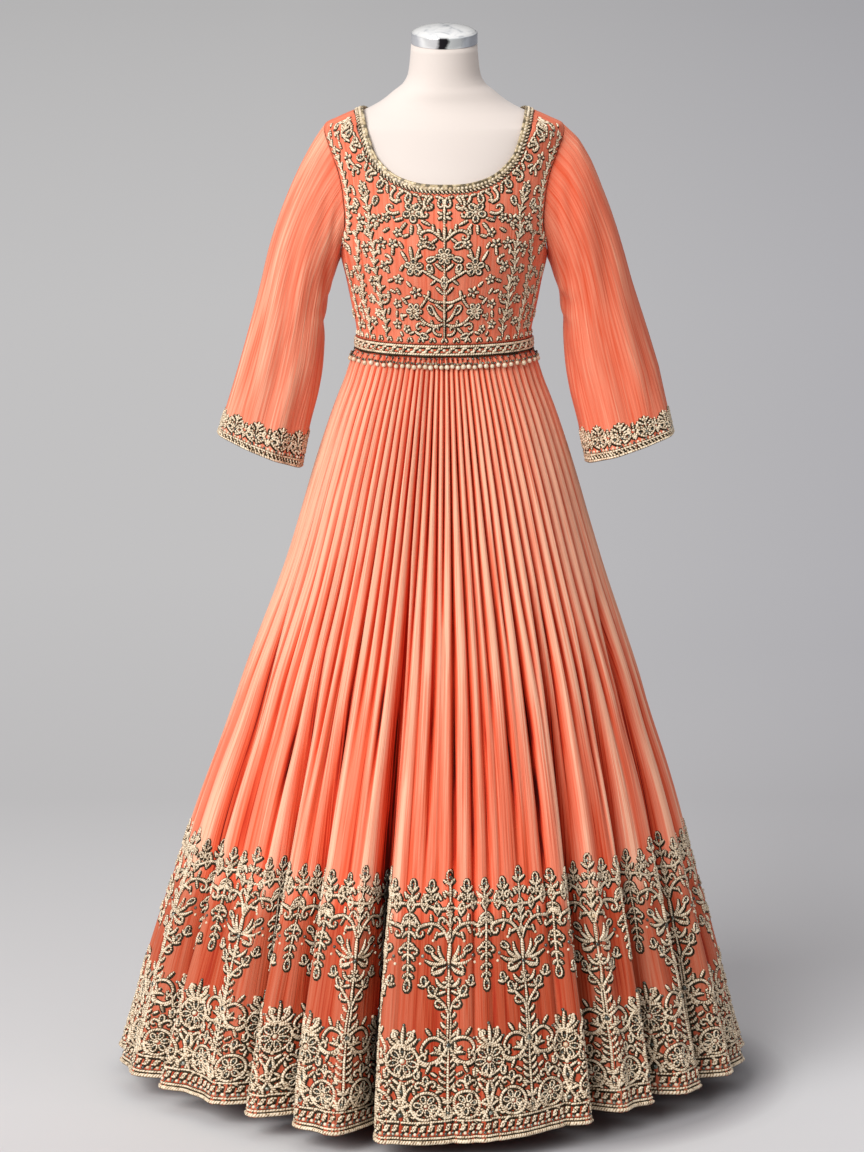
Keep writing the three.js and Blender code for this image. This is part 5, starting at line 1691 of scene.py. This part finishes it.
FR = 68
kk = (np.arange(FR) + 0.5) * PLEATS / FR - PLEATS / 2
tops, mids, lows, rads = [], [], [], []
for q, k in enumerate(kk):
    b = skirt_surface(k, 1052.0)
    rr = math.hypot(b[0], b[1])
    base = skirt_base(pleat_phi(k), 1052.0)
    ph = float(pleat_phi(k))
    drop = 9.0 + 0.8 * math.sin(q * 2.3)
    zc = 1058 - drop
    rad_out = float(skirt_base(ph, zc)) + 2.6
    dirv = np.array([math.sin(math.radians(ph)), -math.cos(math.radians(ph)), 0])
    big = 3.35 + 0.3 * math.sin(q * 1.9)
    lows.append(dirv * rad_out + np.array([0, 0, zc - 1.0]))
    rads.append(big)
    mids.append(dirv * (rad_out - 0.4) + np.array([0, 0, zc + big + 0.6]))
    tops.append(dirv * (float(skirt_base(ph, 1059)) + 1.2) + np.array([0, 0, 1058.6]))
PE = spheres("waist_fringe_pearls", lows, rads, PEARL)
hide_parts("waist_bead_fringe")
spheres("waist_fringe_small_beads", mids, [1.7] * len(mids), GOLD, 8, 5)
between = []
for k in kk + 0.5 * PLEATS / FR:
    ph = float(pleat_phi(k))
    zc = 1052.2 + 0.6 * math.sin(k * 1.7)
    between.append(np.array([math.sin(math.radians(ph)), -math.cos(math.radians(ph)), 0]) * (float(skirt_base(ph, zc)) + 2.2) + np.array([0, 0, zc]))
spheres("waist_fringe_dark_beads", between + tops, [1.9] * len(between) + [1.6] * len(tops), STONE, 8, 5)
V, F = [], []
for q, (a, b) in enumerate(zip(tops, lows)):
    d = unit(np.cross(np.array([a[0], a[1], 0.0]), np.array([0, 0, 1.0])))
    o = unit(np.array([a[0], a[1], 0.0]))
    for c in (a, b):
        for w in (d * 0.5, o * 0.6, -d * 0.5, -o * 0.4):
            V.append(c + w)
    n0 = q * 8
    for i in range(4):
        k = (i + 1) % 4
        F.append((n0 + i, n0 + k, n0 + 4 + k, n0 + 4 + i))
place(mesh_object("waist_fringe_threads", V, F, None, DARK), None)

# ------------------------------------------------------------------ floor, light and camera
def gradient_floor():
    m, nt, b = new_mat("studio_floor")
    L = nt.links.new
    geo = node(nt, "ShaderNodeNewGeometry")
    sep = node(nt, "ShaderNodeSeparateXYZ")
    L(geo.outputs["Position"], sep.inputs["Vector"])
    # painted light: the floor's brightness along Y stands in for the fall of the light, brightest just in front of the
    # stand and dimmer behind; dark far in front, out of the camera's view
    mr = node(nt, "ShaderNodeMapRange")
    mr.inputs["From Min"].default_value = -3.0
    mr.inputs["From Max"].default_value = 22.0
    L(sep.outputs["Y"], mr.inputs["Value"])
    cr = ramp(nt, [(0.0, (0.10, 0.10, 0.10)), (0.05, (0.57, 0.57, 0.57)), (0.112, (0.69, 0.69, 0.70)), (0.144, (0.59, 0.588, 0.595)), (0.188, (0.475, 0.473, 0.480)), (0.272, (0.505, 0.504, 0.510)),
                   (0.44, (0.505, 0.505, 0.510)), (0.92, (0.43, 0.43, 0.434))])
    L(mr.outputs["Result"], cr.inputs["Fac"])
    # painted shade: a little darker toward the right, away from the key light, less so near the front
    far = node(nt, "ShaderNodeMath", operation="ADD")
    far.inputs[1].default_value = 7.5
    L(sep.outputs["Y"], far.inputs[0])
    rel = node(nt, "ShaderNodeMath", operation="DIVIDE")
    L(sep.outputs["X"], rel.inputs[0])
    L(far.outputs["Value"], rel.inputs[1])
    side = node(nt, "ShaderNodeMapRange")
    side.inputs["From Min"].default_value = -0.03
    side.inputs["From Max"].default_value = 0.085
    L(rel.outputs["Value"], side.inputs["Value"])
    tone = ramp(nt, [(0.0, (1.0, 1.0, 1.0)), (1.0, (0.80, 0.80, 0.835))])
    L(side.outputs["Result"], tone.inputs["Fac"])
    mul = node(nt, "ShaderNodeMix", data_type="RGBA", blend_type="MULTIPLY")
    near = node(nt, "ShaderNodeMapRange")
    near.inputs["From Min"].default_value = -0.6
    near.inputs["From Max"].default_value = 3.0
    near.inputs["To Min"].default_value = 0.15
    L(sep.outputs["Y"], near.inputs["Value"])
    L(near.outputs["Result"], mul.inputs["Factor"])
    L(cr.outputs["Color"], mul.inputs[6])
    L(tone.outputs["Color"], mul.inputs[7])
    # painted contact shadow: the floor is darker inside a circle of about 0.37 to 0.46 m round a point 75 mm right of
    # the stand, where the hem all but touches it
    cx = node(nt, "ShaderNodeVectorMath", operation="SUBTRACT")
    cx.inputs[1].default_value = (0.075, 0.0, 0.0)
    L(geo.outputs["Position"], cx.inputs[0])
    ln = node(nt, "ShaderNodeVectorMath", operation="LENGTH")
    L(cx.outputs["Vector"], ln.inputs[0])
    contact_shadow = ramp(nt, [(0.0, (0.52, 0.51, 0.52)), (0.35, (0.72, 0.71, 0.72)), (0.7, (0.95, 0.95, 0.95)), (1.0, (1, 1, 1))])
    fm = node(nt, "ShaderNodeMapRange")
    fm.inputs["From Min"].default_value = 0.365
    fm.inputs["From Max"].default_value = 0.455
    L(ln.outputs["Value"], fm.inputs["Value"])
    L(fm.outputs["Result"], contact_shadow.inputs["Fac"])
    under = node(nt, "ShaderNodeMix", data_type="RGBA", blend_type="MULTIPLY")
    under.inputs["Factor"].default_value = 1.0
    L(mul.outputs[2], under.inputs[6])
    L(contact_shadow.outputs["Color"], under.inputs[7])
    L(under.outputs[2], b.inputs["Base Color"])
    b.inputs["Roughness"].default_value = 0.75
    b.inputs["Specular IOR Level"].default_value = 0.2
    return m


me = bpy.data.meshes.new("floor")
me.from_pydata([(-60, -30, 0), (60, -30, 0), (60, 90, 0), (-60, 90, 0)], [], [(0, 1, 2, 3)])
me.materials.append(gradient_floor())
floor = bpy.data.objects.new("floor", me)
bpy.context.scene.collection.objects.link(floor)

world = bpy.data.worlds.new("studio")
world.use_nodes = True
bg = world.node_tree.nodes.get("Background")
wnt = world.node_tree
wtc = node(wnt, "ShaderNodeTexCoord")
wsep = node(wnt, "ShaderNodeSeparateXYZ")
wnt.links.new(wtc.outputs["Generated"], wsep.inputs["Vector"])
wcr = ramp(wnt, [(0.0, (0.40, 0.40, 0.40)), (0.10, (0.50, 0.497, 0.50)), (0.45, (0.95, 0.94, 0.945)), (1.0, (1.9, 1.88, 1.9))])
wnt.links.new(wsep.outputs["Z"], wcr.inputs["Fac"])
wnt.links.new(wcr.outputs["Color"], bg.inputs["Color"])
bg.inputs["Strength"].default_value = 0.42
bpy.context.scene.world = world


def area_light(name, loc, target, size, power, color=(1, 1, 1)):
    l = bpy.data.lights.new(name, "AREA")
    l.shape = "RECTANGLE"
    l.size, l.size_y = size
    l.energy = power
    l.color = color
    o = bpy.data.objects.new(name, l)
    o.location = loc
    o.rotation_euler = (Vector(target) - Vector(loc)).to_track_quat("-Z", "Y").to_euler()
    bpy.context.scene.collection.objects.link(o)
    return o


sun = bpy.data.lights.new("key", "SUN")
sun.energy, sun.angle, sun.color = 3.0, math.radians(40), (1.0, 0.985, 0.965)
so = bpy.data.objects.new("key", sun)
so.rotation_euler = Vector((-0.52, -0.66, 0.54)).to_track_quat("Z", "Y").to_euler()
bpy.context.scene.collection.objects.link(so)

cam = bpy.data.cameras.new("camera")
cam.lens, cam.sensor_width, cam.sensor_fit = 154.06, 36.0, "AUTO"
cam.clip_end = 200
co = bpy.data.objects.new("camera", cam)
back = Vector((0, -math.cos(math.radians(11)), math.sin(math.radians(11))))
co.location = Vector((-0.017, 0, 0.733)) + back * 7.0
co.rotation_euler = back.to_track_quat("Z", "Y").to_euler()
bpy.context.scene.collection.objects.link(co)
bpy.context.scene.camera = co
bpy.context.scene.view_settings.view_transform = "Standard"
bpy.context.scene.view_settings.look = "None"
